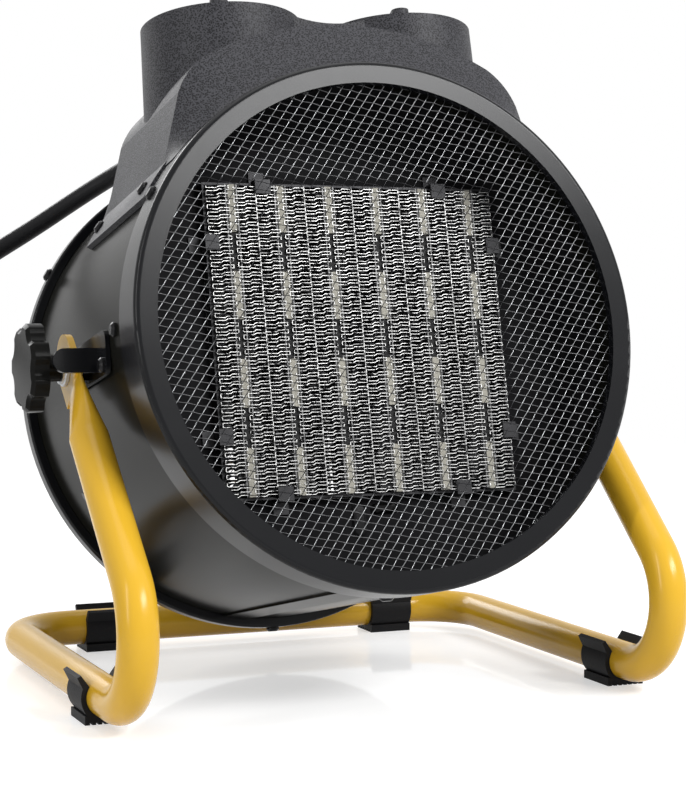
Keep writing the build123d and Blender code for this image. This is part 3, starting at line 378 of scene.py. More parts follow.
# %% Put the finishes on
screw_nodes = [
    "side_screws", "rear_screws", "motor_screws", "housing_screws",
    "bracket_screws_left", "bracket_screws_right",
]
wears = {
    yellow_enamel: ["stand_tube"],
    black_enamel: ["front_bezel", "rear_cover", "bracket_left", "bracket_right"],
    drum_enamel: ["drum_shell"],
    inner_black: ["baffle_plate", "mesh_retainer", "rear_mesh_retainer"],
    black_plastic: ["top_housing", "thermostat_dial", "mode_dial", "thermostat", "mode_switch"],
    knob_plastic: ["tilt_knob_left", "tilt_knob_right"],
    black_rubber: ["foot_front_left", "foot_front_right", "foot_rear_left", "foot_rear_right"],
    cable_rubber: ["strain_relief", "cord_tube", "cord_coil", "plug_body"],
    black_steel: screw_nodes + ["weld_nut_left", "weld_nut_right", "clamp_stud_left", "clamp_stud_right"],
    frame_steel: ["core_frame", "core_tabs"],
    zinc_steel: ["washers_left", "washers_right", "motor_shaft", "thermostat_shaft", "switch_shaft"],
    mesh_steel: ["front_mesh", "rear_mesh"],
    motor_steel: ["fan_motor", "motor_bracket"],
    fan_aluminium: ["fan_rotor"],
    core_aluminium: ["core_fins", "electrodes"],
    stone_ceramic: ["ceramic_stones"],
    dark_silicone: ["stone_spacers"],
    dark_phenolic: ["thermal_cutout"],
    white_nylon: ["terminal_block"],
    brass_pins: ["plug_pins"],
}


def dress(thing, material):
    """Makes a material the only one of an object."""
    thing.data.materials.clear()
    thing.data.materials.append(material)


for material, names in wears.items():
    for name in names:
        dress(nodes[name], material)
dressed = {name for names in wears.values() for name in names}
print("undressed nodes", sorted(set(nodes) - dressed))

# %% [markdown]
# ## The lead's finish
# The lead's coil lies on the floor and stays there when the heater tilts, while its start stays in the
# sleeve. Here the lead gets its finish and its place in the room, and the imported cord and coil are hidden.

dress(lead, cable_rubber)
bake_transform(lead)
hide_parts("cord_tube", "cord_coil")
print("the lead bends from", cord_points[3], "to", cord_points[10])

# %% [markdown]
# ## Drawing in the drum's own frame
# Mesh, fins and screws are easiest to describe square to the drum, with its axis along Y and its
# front at zero. The whole drum is tilted back a little about the clamp's axle, so one matrix takes
# what is drawn there to its place.

# %% From the drum to the room
tilt_up = math.radians(12.6)
pivot = Vector((0, -0.0062633, 0.1451081))
pivot_depth = 0.0804
pivot_drop = 0.00355
tilt_turn = Matrix.Rotation(-tilt_up, 4, "X")
drum_to_room = Matrix.Translation(pivot) @ tilt_turn @ Matrix.Translation((0, -pivot_depth, pivot_drop))
print("the front's centre is at", tuple(round(v, 4) for v in drum_to_room.translation))

# %% [markdown]
# ## Building with Geometry Nodes
# Wires, fins and screws repeat by a rule, which is what Geometry Nodes are for. The trees use the
# same helpers as the materials. One more takes what a tree drew square to the drum to its place, and
# the last runs a tree once and keeps its result as a plain mesh.

# %% Helpers for the shapes
def start_tree(name, sizes):
    """A geometry tree with a mesh socket at each end and a named input for each size."""
    inputs = {"Geometry": ("Geometry", None), **sizes}
    tree, start, end = new_tree("GeometryNodeTree", name, inputs, {"Geometry": "Geometry"})
    return tree, start, end["Geometry"]


def wave(tree, value):
    """The cosine of half turns: 1 at even numbers and -1 at odd ones."""
    return calc(tree, "COSINE", calc(tree, "MULTIPLY", value, math.pi))


def into_the_drum(tree, geometry, result):
    """Takes what is drawn in the drum's frame to its place, as a plain mesh, and ends the tree."""
    placed = add(tree, "GeometryNodeTransform", {
        "Geometry": geometry, "Translation": drum_to_room.translation, "Rotation": (-tilt_up, 0, 0)})
    solid = add(tree, "GeometryNodeRealizeInstances", {"Geometry": placed.outputs[0]})
    tree.links.new(solid.outputs[0], result)


def grow(name, tree, values, base=None):
    """Runs a tree once on a small base mesh and keeps what it makes as a plain mesh object."""
    seed_object = put_in_scene(name + "_base", base or bpy.data.meshes.new(name + "_base"))
    modifier = seed_object.modifiers.new(tree.name, "NODES")
    modifier.node_group = tree
    for item in tree.interface.items_tree:
        if item.in_out == "INPUT" and item.name in values:
            modifier[item.identifier] = values[item.name]
    bpy.context.view_layer.update()
    ready = seed_object.evaluated_get(bpy.context.evaluated_depsgraph_get())
    mesh = bpy.data.meshes.new_from_object(ready)
    bpy.data.objects.remove(seed_object)
    thing = put_in_scene(name, mesh)
    mesh.name = name
    print(name, len(mesh.vertices), "vertices", len(mesh.polygons), "faces")
    return thing


# %% [markdown]
# ## Wires with painted shade in front of the core
# The wires in front of the core get a dark colour, in a square as large as the core, that is painted
# shade. A node group gives 1 inside that square and 0 outside it: the larger of the two distances from
# its middle, each as a share of the square's half size, is compared with one.

# %% The painted wire shade
def wire_shade_group():
    group, start, end = new_tree(
        "ShaderNodeTree", "Wire shade mask",
        {"Half size": ("Vector", (0.0682, 1.0, 0.0666)), "Centre": ("Vector", (0, 0, 0))}, {"Mask": "Float"})
    away = calc_vector(group, "SUBTRACT", object_place(group), start["Centre"])
    share = calc_vector(group, "ABSOLUTE", calc_vector(group, "DIVIDE", away, start["Half size"]))
    sideways_and_up = parts_of(group, share)
    largest = calc(group, "MAXIMUM", sideways_and_up["X"], sideways_and_up["Z"])
    mask = add(group, "ShaderNodeMapRange", {"Value": largest, "From Min": 1.015, "From Max": 0.985})
    group.links.new(mask.outputs["Result"], end["Mask"])
    return group


wire_shade_mask = wire_shade_group()
wire_shade_centre = drum_to_room @ Vector((-0.0129, 0.005, -0.0047))
# Painted shade: the dark colour the wires take in front of the core.
painted_wire_shade = (0.03, 0.03, 0.032, 1)


def paint_wire_shade(material):
    """Paints shade on a wire's colour inside the square in front of the core."""
    tree = material.node_tree
    base_color = tree.nodes["Principled BSDF"].inputs["Base Color"]
    mark = add(tree, "ShaderNodeGroup", node_tree=wire_shade_mask)
    mark.inputs["Centre"].default_value = wire_shade_centre
    mix = add(tree, "ShaderNodeMix", {
        "Factor": mark.outputs["Mask"], "A": base_color.default_value, "B": painted_wire_shade}, data_type="RGBA")
    tree.links.new(mix.outputs["Result"], base_color)


print("shader group", wire_shade_mask.name)

# %% [markdown]
# ## The woven front mesh
# The front is a coarse steel cloth: straight bright wires one way, and softer wires that duck over
# and under them the other way. Both sets are the same steel, and the other set's grey colour is
# painted shade. Each set of wires starts as a grid whose cross edges are taken out.
# A point's place along its wire and the wire's number give its height in the weave: one set bends a
# little, the other a lot, in opposite senses, so that they pass each other at every crossing.

# %% Straight lines side by side
def straight_lines(tree, sizes):
    """A grid whose cross edges are taken out, as curves that run along X from -1 to 1."""
    put, do = partial(add, tree), partial(calc, tree)
    span = do("MULTIPLY", do("SUBTRACT", sizes["Wires"], 1), sizes["Pitch"])
    grid = put("GeometryNodeMeshGrid", {
        "Size X": 2.0, "Size Y": span, "Vertices X": sizes["Points"], "Vertices Y": sizes["Wires"]})
    edge = put("GeometryNodeInputMeshEdgeVertices").outputs
    across = parts_of(tree, calc_vector(tree, "SUBTRACT", edge["Position 1"], edge["Position 2"]))["Y"]
    is_cross = put("FunctionNodeCompare", {0: do("ABSOLUTE", across), 1: 1e-5}, operation="GREATER_THAN")
    lines = put("GeometryNodeDeleteGeometry", {
        "Geometry": grid.outputs["Mesh"], "Selection": is_cross.outputs[0]}, domain="EDGE", mode="EDGE_FACE")
    return put("GeometryNodeMeshToCurve", {"Mesh": lines.outputs[0]}).outputs[0]


# %% A wire's way through the weave
def woven_place(tree, sizes):
    """Where a line's point goes: out to the round edge, turned, and over or under the other wires."""
    do = partial(calc, tree)
    place = parts_of(tree, add(tree, "GeometryNodeInputPosition").outputs[0])
    side = place["Y"]
    half_squared = do("SUBTRACT", do("POWER", sizes["Radius"], 2.0), do("POWER", side, 2.0))
    half = do("SQRT", do("MAXIMUM", half_squared, 1e-8))
    along = do("MULTIPLY", place["X"], half)
    cosine, sine = do("COSINE", sizes["Angle"]), do("SINE", sizes["Angle"])
    x = do("SUBTRACT", do("MULTIPLY", along, cosine), do("MULTIPLY", side, sine))
    z = do("ADD", do("MULTIPLY", along, sine), do("MULTIPLY", side, cosine))
    cosine, sine = do("COSINE", sizes["Other angle"]), do("SINE", sizes["Other angle"])
    other_side = do("SUBTRACT", do("MULTIPLY", z, cosine), do("MULTIPLY", x, sine))
    number = do("DIVIDE", side, sizes["Pitch"])
    crossing = do("DIVIDE", other_side, sizes["Other pitch"])
    sense = do("MULTIPLY", wave(tree, number), wave(tree, crossing))
    y = do("ADD", sizes["Depth"], do("MULTIPLY", sense, sizes["Swing"]))
    return add(tree, "ShaderNodeCombineXYZ", {"X": x, "Y": y, "Z": z}).outputs[0]


def stray(tree, sizes, spot):
    """A small push sideways or up or down, from noise with a fixed seed."""
    noise = add(tree, "ShaderNodeTexNoise", {
        "Vector": spot, "W": sizes["Seed"], "Scale": 90.0}, noise_dimensions="4D")
    middle = calc_vector(tree, "SUBTRACT", noise.outputs["Color"], (0.5, 0.5, 0.5))
    flat = calc_vector(tree, "MULTIPLY", middle, (1, 0, 1))
    return add(tree, "ShaderNodeVectorMath", {0: flat, "Scale": sizes["Stray"]}, operation="SCALE").outputs[0]


# %% One set of wires
def wire_set():
    tree, sizes, result = start_tree("Set of wires", {
        "Radius": ("Float", 0.11), "Pitch": ("Float", 0.0038), "Angle": ("Float", 0.0),
        "Other pitch": ("Float", 0.0033), "Other angle": ("Float", 0.0), "Swing": ("Float", 0.0001),
        "Stray": ("Float", 0.0), "Thickness": ("Float", 0.0006), "Depth": ("Float", 0.005),
        "Points": ("Int", 150), "Wires": ("Int", 50), "Seed": ("Float", 1.0),
    })
    put = partial(add, tree)
    lines = straight_lines(tree, sizes)
    spot = woven_place(tree, sizes)
    moved = put("GeometryNodeSetPosition", {
        "Geometry": lines, "Position": spot, "Offset": stray(tree, sizes, spot)})
    radius = calc(tree, "DIVIDE", sizes["Thickness"], 2.0)
    section = put("GeometryNodeCurvePrimitiveCircle", {"Resolution": 4, "Radius": radius})
    solid = put("GeometryNodeCurveToMesh", {
        "Curve": moved.outputs[0], "Profile Curve": section.outputs[0]})
    smooth = put("GeometryNodeSetShadeSmooth", {0: solid.outputs[0]})
    tree.links.new(smooth.outputs[0], result)
    return tree


wires_tree = wire_set()
print("tree", wires_tree.name, len(wires_tree.nodes), "nodes")


# %% The two sets together
def woven_mesh():
    tree, sizes, result = start_tree("Woven mesh", {
        "Radius": ("Float", 0.1095), "Depth": ("Float", 0.00475), "Thickness": ("Float", 0.00033),
        "Steep pitch": ("Float", 0.0038), "Steep angle": ("Float", math.radians(54)),
        "Flat pitch": ("Float", 0.0033), "Flat angle": ("Float", math.radians(-11)),
        "Steep wires": ("Int", 57), "Flat wires": ("Int", 65), "Points": ("Int", 165),
        "Swing": ("Float", 0.0003), "Stray": ("Float", 0.0008),
        "Bright": ("Material", None), "Grey": ("Material", None),
    })
    put, do = partial(add, tree), partial(calc, tree)
    join = put("GeometryNodeJoinGeometry")
    # The share of the swing and of the stray that each set takes.
    steep_set = ("Steep", "Flat", 0.7, 0.25, "Bright")
    flat_set = ("Flat", "Steep", -1.2, 1.0, "Grey")
    for way, other, bend, wander, material in (steep_set, flat_set):
        wires = put("GeometryNodeGroup", {
            "Radius": sizes["Radius"], "Pitch": sizes[way + " pitch"], "Angle": sizes[way + " angle"],
            "Other pitch": sizes[other + " pitch"], "Other angle": sizes[other + " angle"],
            "Thickness": sizes["Thickness"], "Depth": sizes["Depth"], "Points": sizes["Points"],
            "Wires": sizes[way + " wires"], "Swing": do("MULTIPLY", sizes["Swing"], bend),
            "Stray": do("MULTIPLY", sizes["Stray"], wander), "Seed": 2.0 + bend,
        }, node_tree=wires_tree)
        painted = put("GeometryNodeSetMaterial", {
            "Geometry": wires.outputs[0], "Material": sizes[material]})
        tree.links.new(painted.outputs[0], join.inputs[0])
    into_the_drum(tree, join.outputs[0], result)
    return tree


# %% Front and rear mesh
bright_wire = finish("bright_wire", (0.40, 0.41, 0.42), (0.3, 0.4), metallic=1.0, wipe_scale=200)
# The grey set's darker colour is painted shade; both sets are the same steel.
shaded_wire_painted = finish("shaded_wire_painted", (0.15, 0.15, 0.155), (0.35, 0.5), metallic=1.0, wipe_scale=200)
# Both sets of wires get painted shade in front of the core.
for wire in (bright_wire, shaded_wire_painted):
    paint_wire_shade(wire)
woven_tree = woven_mesh()
mesh_front = grow("mesh_front", woven_tree, {"Bright": bright_wire, "Grey": shaded_wire_painted})
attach(mesh_front, "heater")
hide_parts("front_mesh")
mesh_rear = grow("mesh_rear", woven_tree, {
    "Bright": mesh_steel, "Grey": mesh_steel, "Depth": 0.1730, "Thickness": 0.0011, "Swing": 0.0005,
    "Stray": 0.0, "Steep pitch": 0.009, "Steep angle": math.pi / 2, "Flat pitch": 0.009, "Flat angle": 0.0,
    "Steep wires": 25, "Flat wires": 25, "Points": 75})
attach(mesh_rear, "heater")
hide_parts("rear_mesh")

# %% [markdown]
# ## The heating core's fins
# Between the ceramic stones runs thin aluminium strip, folded back and forth so tightly that it
# reads as rows of bright dashes. Each strip is one long ribbon that snakes up its column, five points
# to a row: across to the middle, a small step, across to the side, and up to the next row. Noise with
# a fixed seed shifts the rows a little and pushes some of them back, as handling does. The ribbon's
# front edge is bright bare metal, and its sides, deep between their neighbours, get a dark colour that
# is painted shade.

# %% The ribbons, still flat
fin_rows = 86
points_per_row = 5
last_point = fin_rows * points_per_row - 1
stone_columns = 6


def flat_ribbons(tree):
    """One ribbon for each side of each column of stones, two units apart in X, one unit long."""
    put = partial(add, tree)
    ribbon = put("GeometryNodeMeshGrid", {
        "Size X": 1.0, "Size Y": 1.0, "Vertices X": last_point + 1, "Vertices Y": 2})
    starts = put("GeometryNodeMeshLine", {
        "Count": 2 * stone_columns, "Start Location": (0, 0, 0), "Offset": (2.0, 0, 0)})
    copies = put("GeometryNodeInstanceOnPoints", {
        "Points": starts.outputs[0], "Instance": ribbon.outputs["Mesh"]})
    return put("GeometryNodeRealizeInstances", {"Geometry": copies.outputs[0]}).outputs[0]


# %% Where a ribbon's point goes, from the front
def folded_place(tree, sizes, x_place):
    """The ribbon's number and the point's sideways place and height, from its place along X."""
    do = partial(calc, tree)
    number = do("ROUND", do("DIVIDE", x_place, 2.0))
    share = do("ADD", do("SUBTRACT", x_place, do("MULTIPLY", number, 2.0)), 0.5)
    point = do("ROUND", do("MULTIPLY", share, last_point))
    row = do("FLOOR", do("DIVIDE", do("ADD", point, 0.5), points_per_row))
    spot_in_row = do("SUBTRACT", point, do("MULTIPLY", row, points_per_row))
    from_middle = do("SUBTRACT", spot_in_row, 1.5)
    nearer = do("SUBTRACT", from_middle, do("MULTIPLY", do("SIGN", from_middle), 0.38))
    swing = do("MULTIPLY", wave(tree, row), do("MAXIMUM", do("MINIMUM", nearer, 1.0), -1.0))
    stepped = do("MULTIPLY", do("GREATER_THAN", swing, 0.0), sizes["Step"])
    corner = do("MULTIPLY", do("GREATER_THAN", spot_in_row, 3.5), 0.33)
    pitch = do("DIVIDE", sizes["Height"], sizes["Rows"])
    rise = do("MULTIPLY", do("ADD", row, do("ADD", stepped, corner)), pitch)
    column = do("SUBTRACT", do("FLOOR", do("DIVIDE", number, 2.0)), (stone_columns - 1) / 2)
    left_or_right = do("SUBTRACT", do("MULTIPLY", do("MODULO", number, 2.0), 2.0), 1.0)
    beside = do("MULTIPLY", left_or_right, sizes["Offset"])
    middle = do("ADD", do("MULTIPLY", column, sizes["Column"]), beside)
    x = do("ADD", middle, do("MULTIPLY", swing, do("MULTIPLY", sizes["Width"], 0.5)))
    z = do("SUBTRACT", rise, do("MULTIPLY", sizes["Height"], 0.5))
    return number, x, z


# %% How handling moved it
def handled_place(tree, sizes):
    """The folded place with rows shifted a little and the front edge pushed back here and there."""
    put, do = partial(add, tree), partial(calc, tree)
    place = parts_of(tree, put("GeometryNodeInputPosition").outputs[0])
    number, x, z = folded_place(tree, sizes, place["X"])
    where = put("ShaderNodeCombineXYZ", {"X": do("MULTIPLY", x, 0.5), "Y": 0.0, "Z": z}).outputs[0]
    chance = put("ShaderNodeTexNoise", {
        "Vector": where, "W": number, "Scale": 420.0, "Detail": 1.0}, noise_dimensions="4D")
    shift = do("MULTIPLY", do("SUBTRACT", chance.outputs["Fac"], 0.5), sizes["Wander"])
    dents = put("ShaderNodeTexNoise", {
        "Vector": where, "W": do("ADD", number, 40.0), "Scale": 330.0}, noise_dimensions="4D")
    dent = do("MULTIPLY", do("MAXIMUM", do("SUBTRACT", dents.outputs["Fac"], 0.56), 0.0), sizes["Dent"])
    is_front = do("SUBTRACT", 0.5, place["Y"])
    depth = do("MULTIPLY", do("ADD", place["Y"], 0.5), sizes["Depth"])
    y = do("ADD", do("ADD", depth, sizes["Front"]), do("MULTIPLY", is_front, dent))
    return put("ShaderNodeCombineXYZ", {"X": x, "Y": y, "Z": do("ADD", z, shift)}).outputs[0]


# %% Folded strip
def folded_strips():
    tree, sizes, result = start_tree("Folded strips", {
        "Column": ("Float", column_pitch), "Offset": ("Float", 0.00620), "Width": ("Float", 0.0102),
        "Height": ("Float", 0.1364), "Depth": ("Float", 0.0136), "Front": ("Float", 0.0350),
        "Rows": ("Float", float(fin_rows)), "Strip": ("Float", 0.00032), "Step": ("Float", 0.5),
        "Wander": ("Float", 0.0005), "Dent": ("Float", 0.01),
        "Edge": ("Material", None), "Side": ("Material", None),
    })
    put = partial(add, tree)
    moved = put("GeometryNodeSetPosition", {
        "Geometry": flat_ribbons(tree), "Position": handled_place(tree, sizes)})
    thick = put("GeometryNodeExtrudeMesh", {
        "Mesh": moved.outputs[0], "Offset Scale": sizes["Strip"], "Individual": False})
    back = put("GeometryNodeFlipFaces", {"Mesh": moved.outputs[0]})
    both = put("GeometryNodeJoinGeometry")
    tree.links.new(thick.outputs["Mesh"], both.inputs[0])
    tree.links.new(back.outputs[0], both.inputs[0])
    # The ribbon's sides take the painted shade, and the front edge keeps the bright metal.
    painted_shade_sides = put("GeometryNodeSetMaterial", {"Geometry": both.outputs[0], "Material": sizes["Side"]})
    facing = parts_of(tree, put("GeometryNodeInputNormal").outputs[0])
    is_edge = put("FunctionNodeCompare", {0: facing["Y"], 1: -0.5}, operation="LESS_THAN")
    bright = put("GeometryNodeSetMaterial", {
        "Geometry": painted_shade_sides.outputs[0], "Selection": is_edge.outputs[0], "Material": sizes["Edge"]})
    into_the_drum(tree, bright.outputs[0], result)
    return tree


# The sides' dark colour is painted shade.
fin_side_painted_shade = finish("fin_side_painted_shade", (0.10, 0.10, 0.10), (0.5, 0.65), metallic=1.0, wipe_scale=260)
fin_edge = finish("fin_edge", (0.72, 0.72, 0.71), (0.35, 0.5), metallic=0.55, wipe_scale=260)
fins = grow("fins", folded_strips(), {"Edge": fin_edge, "Side": fin_side_painted_shade})
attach(fins, "heater")
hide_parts("core_fins")

# %% [markdown]
# ## The grommet and the hood below the core
# The plate round the core has a slot for the core's wires, closed by a blind rubber grommet, and a
# small hood pressed out of the sheet beside it. The hood's near-black colour is painted shade, as of
# the dark opening under it. Both are low domes on a rounded oblong: the same
# outline four times, each time further forward and smaller, with the last one closed.

# %% A mesh from its corners
def from_corners(name, corners, faces, material):
    """A mesh object from a list of corners and a list of faces, in one material."""
    mesh = bpy.data.meshes.new(name)
    mesh.from_pydata([tuple(corner) for corner in corners], [], faces)
    thing = put_in_scene(name, mesh)
    dress(thing, material)
    print(name, len(faces), "faces")
    return thing


def turn_outward(mesh):
    """Makes all the faces of a closed mesh look outward."""
    work = bmesh.new()
    work.from_mesh(mesh)
    bmesh.ops.recalc_face_normals(work, faces=work.faces)
    work.to_mesh(mesh)
    work.free()


# %% Two low domes
dome_rings = ((1.0, 0.0), (1.0, 0.35), (0.82, 0.8), (0.5, 1.0))  # each ring's size and its rise


def oblong_outline(length, width, steps=8):
    """Points round a rounded oblong, its long way first."""
    outline = []
    for end in (1, -1):
        for k in range(steps + 1):
            angle = math.pi * (k / steps - end / 2)
            along = end * (length - width) / 2 + width / 2 * math.cos(angle)
            outline.append((along, width / 2 * math.sin(angle)))
    return outline


def oblong_dome(name, centre, upright, length, width, height, material):
    """A dome on a rounded oblong that stands forward from a place in the drum's frame."""
    outline = oblong_outline(length, width)
    corners, faces, count = [], [], len(outline)
    for size, rise in dome_rings:
        for a, b in outline:
            x, z = (b * size, a * size) if upright else (a * size, b * size)
            corners.append(drum_to_room @ (Vector(centre) + Vector((x, -rise * height, z))))
    last_ring = (len(dome_rings) - 1) * count
    for first in range(0, last_ring, count):
        for k in range(count):
            after = (k + 1) % count
            faces.append([first + k, first + after, first + count + after, first + count + k])
    faces += [list(range(last_ring, last_ring + count)), list(range(count - 1, -1, -1))]
    thing = from_corners(name, corners, faces, material)
    turn_outward(thing.data)
    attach(thing, "heater")
    return thing


grommet = oblong_dome("wire_grommet", (-0.006, 0.0431, -0.07935), True, 0.0156, 0.0066, 0.0018, cable_rubber)
# The hood's near-black colour is painted shade.
hood = oblong_dome("pressed_hood", (0.0063, 0.0431, -0.0746), False, 0.0130, 0.0046, 0.0022, hood_painted_shade)

# %% [markdown]
# ## Screws
# All the screws that show are pan-head screws with a cross recess. One tree makes the screw: a low
# cone on a short drum with two crossed blocks cut out of it, and a shank below. It stands on points
# that carry their own outward direction, and each node's places come from the same rules as the
# solids': an angle round the drum from the top, a depth along it and a radius.

# %% One screw
def lift(tree, geometry, height, turn=0.0):
    """Raises a shape along Z and turns it about Z."""
    up = add(tree, "ShaderNodeCombineXYZ", {"Z": height}).outputs[0]
    return add(tree, "GeometryNodeTransform", {
        "Geometry": geometry, "Translation": up, "Rotation": (0, 0, turn)}).outputs[0]


def one_screw(tree, sizes):
    """A screw whose seat is at zero, with its head above and its shank below."""
    put, do = partial(add, tree), partial(calc, tree)
    radius, height = sizes["Head radius"], sizes["Head height"]
    low = do("MULTIPLY", height, 0.45)
    skirt = put("GeometryNodeMeshCylinder", {
        "Vertices": 20, "Radius": radius, "Depth": low}, fill_type="NGON").outputs["Mesh"]
    dome = put("GeometryNodeMeshCone", {
        "Vertices": 20, "Radius Top": do("MULTIPLY", radius, 0.68), "Radius Bottom": radius,
        "Depth": do("SUBTRACT", height, low)}, fill_type="NGON").outputs["Mesh"]
    recess = put("GeometryNodeJoinGeometry")
    for turn in (0.0, math.pi / 2):
        size = put("ShaderNodeCombineXYZ", {"X": do("MULTIPLY", radius, 1.2), "Y": 0.0008, "Z": 0.0018})
        block = put("GeometryNodeMeshCube", {"Size": size.outputs[0]}).outputs["Mesh"]
        tree.links.new(lift(tree, block, height, turn), recess.inputs[0])
    cut = put("GeometryNodeMeshBoolean", {"Mesh 1": lift(tree, dome, low)}, operation="DIFFERENCE")
    tree.links.new(recess.outputs[0], cut.inputs["Mesh 2"])
    shank = put("GeometryNodeMeshCylinder", {
        "Vertices": 10, "Radius": 0.0016, "Depth": sizes["Shank"]}, fill_type="NGON").outputs["Mesh"]
    screw = put("GeometryNodeJoinGeometry")
    raised_skirt = lift(tree, skirt, do("MULTIPLY", low, 0.5))
    lowered_shank = lift(tree, shank, do("MULTIPLY", sizes["Shank"], -0.5))
    for part in (raised_skirt, cut.outputs["Mesh"], lowered_shank):
        tree.links.new(part, screw.inputs[0])
    return screw.outputs[0]


# %% Screws on points
def screw_tree():
    tree, sizes, result = start_tree("Pan-head screws", {
        "Head radius": ("Float", 0.0032), "Head height": ("Float", 0.0019), "Shank": ("Float", 0.006),
        "Metal": ("Material", None)})
    put = partial(add, tree)
    out = put("GeometryNodeInputNamedAttribute", {"Name": "out"}, data_type="FLOAT_VECTOR")
    facing = put("FunctionNodeAlignRotationToVector", {"Vector": out.outputs["Attribute"]}, axis="Z")
    copies = put("GeometryNodeInstanceOnPoints", {
        "Points": sizes["Geometry"], "Instance": one_screw(tree, sizes),
        "Rotation": facing.outputs["Rotation"]})
    solid = put("GeometryNodeRealizeInstances", {"Geometry": copies.outputs[0]})
    painted = put("GeometryNodeSetMaterial", {"Geometry": solid.outputs[0], "Material": sizes["Metal"]})
    tree.links.new(painted.outputs[0], result)
    return tree


screws_tree = screw_tree()
print("tree", screws_tree.name, len(screws_tree.nodes), "nodes")


# %% Where the screws sit
def round_the_drum(angle, depth, radius):
    """A place on the drum and its outward direction, both in the room."""
    out = Vector((math.sin(math.radians(angle)), 0, math.cos(math.radians(angle))))
    return drum_to_room @ (radius * out + Vector((0, depth, 0))), drum_to_room.to_3x3() @ out


def beside_the_drum(side, depth):
    """A place on a bracket's plate, a little below the clamp's axle, and its outward direction."""
    place = Vector((side * bracket_face, depth, bracket_screw_height))
    return drum_to_room @ place, Vector((side, 0, 0))


def behind_the_motor(x):
    """A place on the motor's rear end, level with its shaft, and its outward direction."""
    return drum_to_room @ Vector((x, motor_rear, 0)), drum_to_room.to_3x3() @ Vector((0, 1, 0))


drum_face, bezel_face, cover_face, flange_face = 0.11365, 0.115, 0.1183, 0.1162
bracket_face, bracket_screw_height, bracket_screw_depths = 0.1158, -0.00855, (0.0468, 0.0982)
flange_angle, flange_screw_depths = 55.75, (0.03615, 0.104)
motor_rear, arm_depth = 0.14675, 0.13695
baffle_depth, bezel_screw_depth, cover_screw_depth = 0.0338, 0.0142, 0.1748
screw_places = {
    "side_screws": [round_the_drum(angle, baffle_depth, drum_face) for angle in (-88, 88, 180)]
    + [round_the_drum(angle, bezel_screw_depth, bezel_face) for angle in (-60, 60)],
    "rear_screws": [round_the_drum(angle, cover_screw_depth, cover_face) for angle in (-60, 60, 180)],
    "housing_screws": [
        round_the_drum(side * flange_angle, depth, flange_face)
        for side in (-1, 1) for depth in flange_screw_depths
    ],
    "motor_screws": [behind_the_motor(x) for x in (-0.02, 0.02)]
    + [round_the_drum(angle, arm_depth, drum_face) for angle in (-118, 118, 0)],
    "bracket_screws_left": [beside_the_drum(-1, depth) for depth in bracket_screw_depths],
    "bracket_screws_right": [beside_the_drum(1, depth) for depth in bracket_screw_depths],
}
print("screws", {name: len(places) for name, places in screw_places.items()})

# %% Set the screws
for name, places in screw_places.items():
    points = bpy.data.meshes.new(name + "_places")
    points.from_pydata([tuple(place) for place, out in places], [], [])
    directions = points.attributes.new("out", "FLOAT_VECTOR", "POINT")
    for item, (place, out) in zip(directions.data, places):
        item.vector = out
    made = grow(name + "_cross", screws_tree, {"Metal": black_steel}, points)
    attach(made, "heater")
    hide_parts(name)

# %% [markdown]
# ## Ribs on the sleeve and the plug
# The lead's sleeve has soft ribs round it, so that it bends evenly: one ring on each point of a short
# line along the sleeve, each a little smaller than the last. The plug's grip has rings of one size,
# from the same tree.

# %% Ribs along a line
def ribs_tree():
    tree, sizes, result = start_tree("Ribs along a sleeve", {
        "Start": ("Vector", (0, 0, 0)), "Along": ("Vector", (0, 0.001, 0)), "Count": ("Int", 8),
        "First": ("Float", 0.007), "Last": ("Float", 0.006), "Thickness": ("Float", 0.0005),
        "Rubber": ("Material", None)})
    put, do = partial(add, tree), partial(calc, tree)
    line = put("GeometryNodeMeshLine", {
        "Count": sizes["Count"], "Start Location": sizes["Start"], "Offset": sizes["Along"]})
    ring = put("GeometryNodeCurvePrimitiveCircle", {"Resolution": 24, "Radius": 1.0})
    facing = put("FunctionNodeAlignRotationToVector", {"Vector": sizes["Along"]}, axis="Z")
    index = put("GeometryNodeInputIndex").outputs[0]
    share = do("DIVIDE", index, do("SUBTRACT", sizes["Count"], 1.0))
    growth = do("MULTIPLY", share, do("SUBTRACT", sizes["Last"], sizes["First"]))
    rings = put("GeometryNodeInstanceOnPoints", {
        "Points": line.outputs[0], "Instance": ring.outputs[0], "Rotation": facing.outputs["Rotation"],
        "Scale": do("ADD", sizes["First"], growth)})
    real = put("GeometryNodeRealizeInstances", {"Geometry": rings.outputs[0]})
    section = put("GeometryNodeCurvePrimitiveCircle", {"Resolution": 6, "Radius": sizes["Thickness"]})
    solid = put("GeometryNodeCurveToMesh", {
        "Curve": real.outputs[0], "Profile Curve": section.outputs[0]})
    smooth = put("GeometryNodeSetShadeSmooth", {0: solid.outputs[0]})
    painted = put("GeometryNodeSetMaterial", {"Geometry": smooth.outputs[0], "Material": sizes["Rubber"]})
    tree.links.new(painted.outputs[0], result)
    return tree


ribs = ribs_tree()
print("tree", ribs.name, len(ribs.nodes), "nodes")

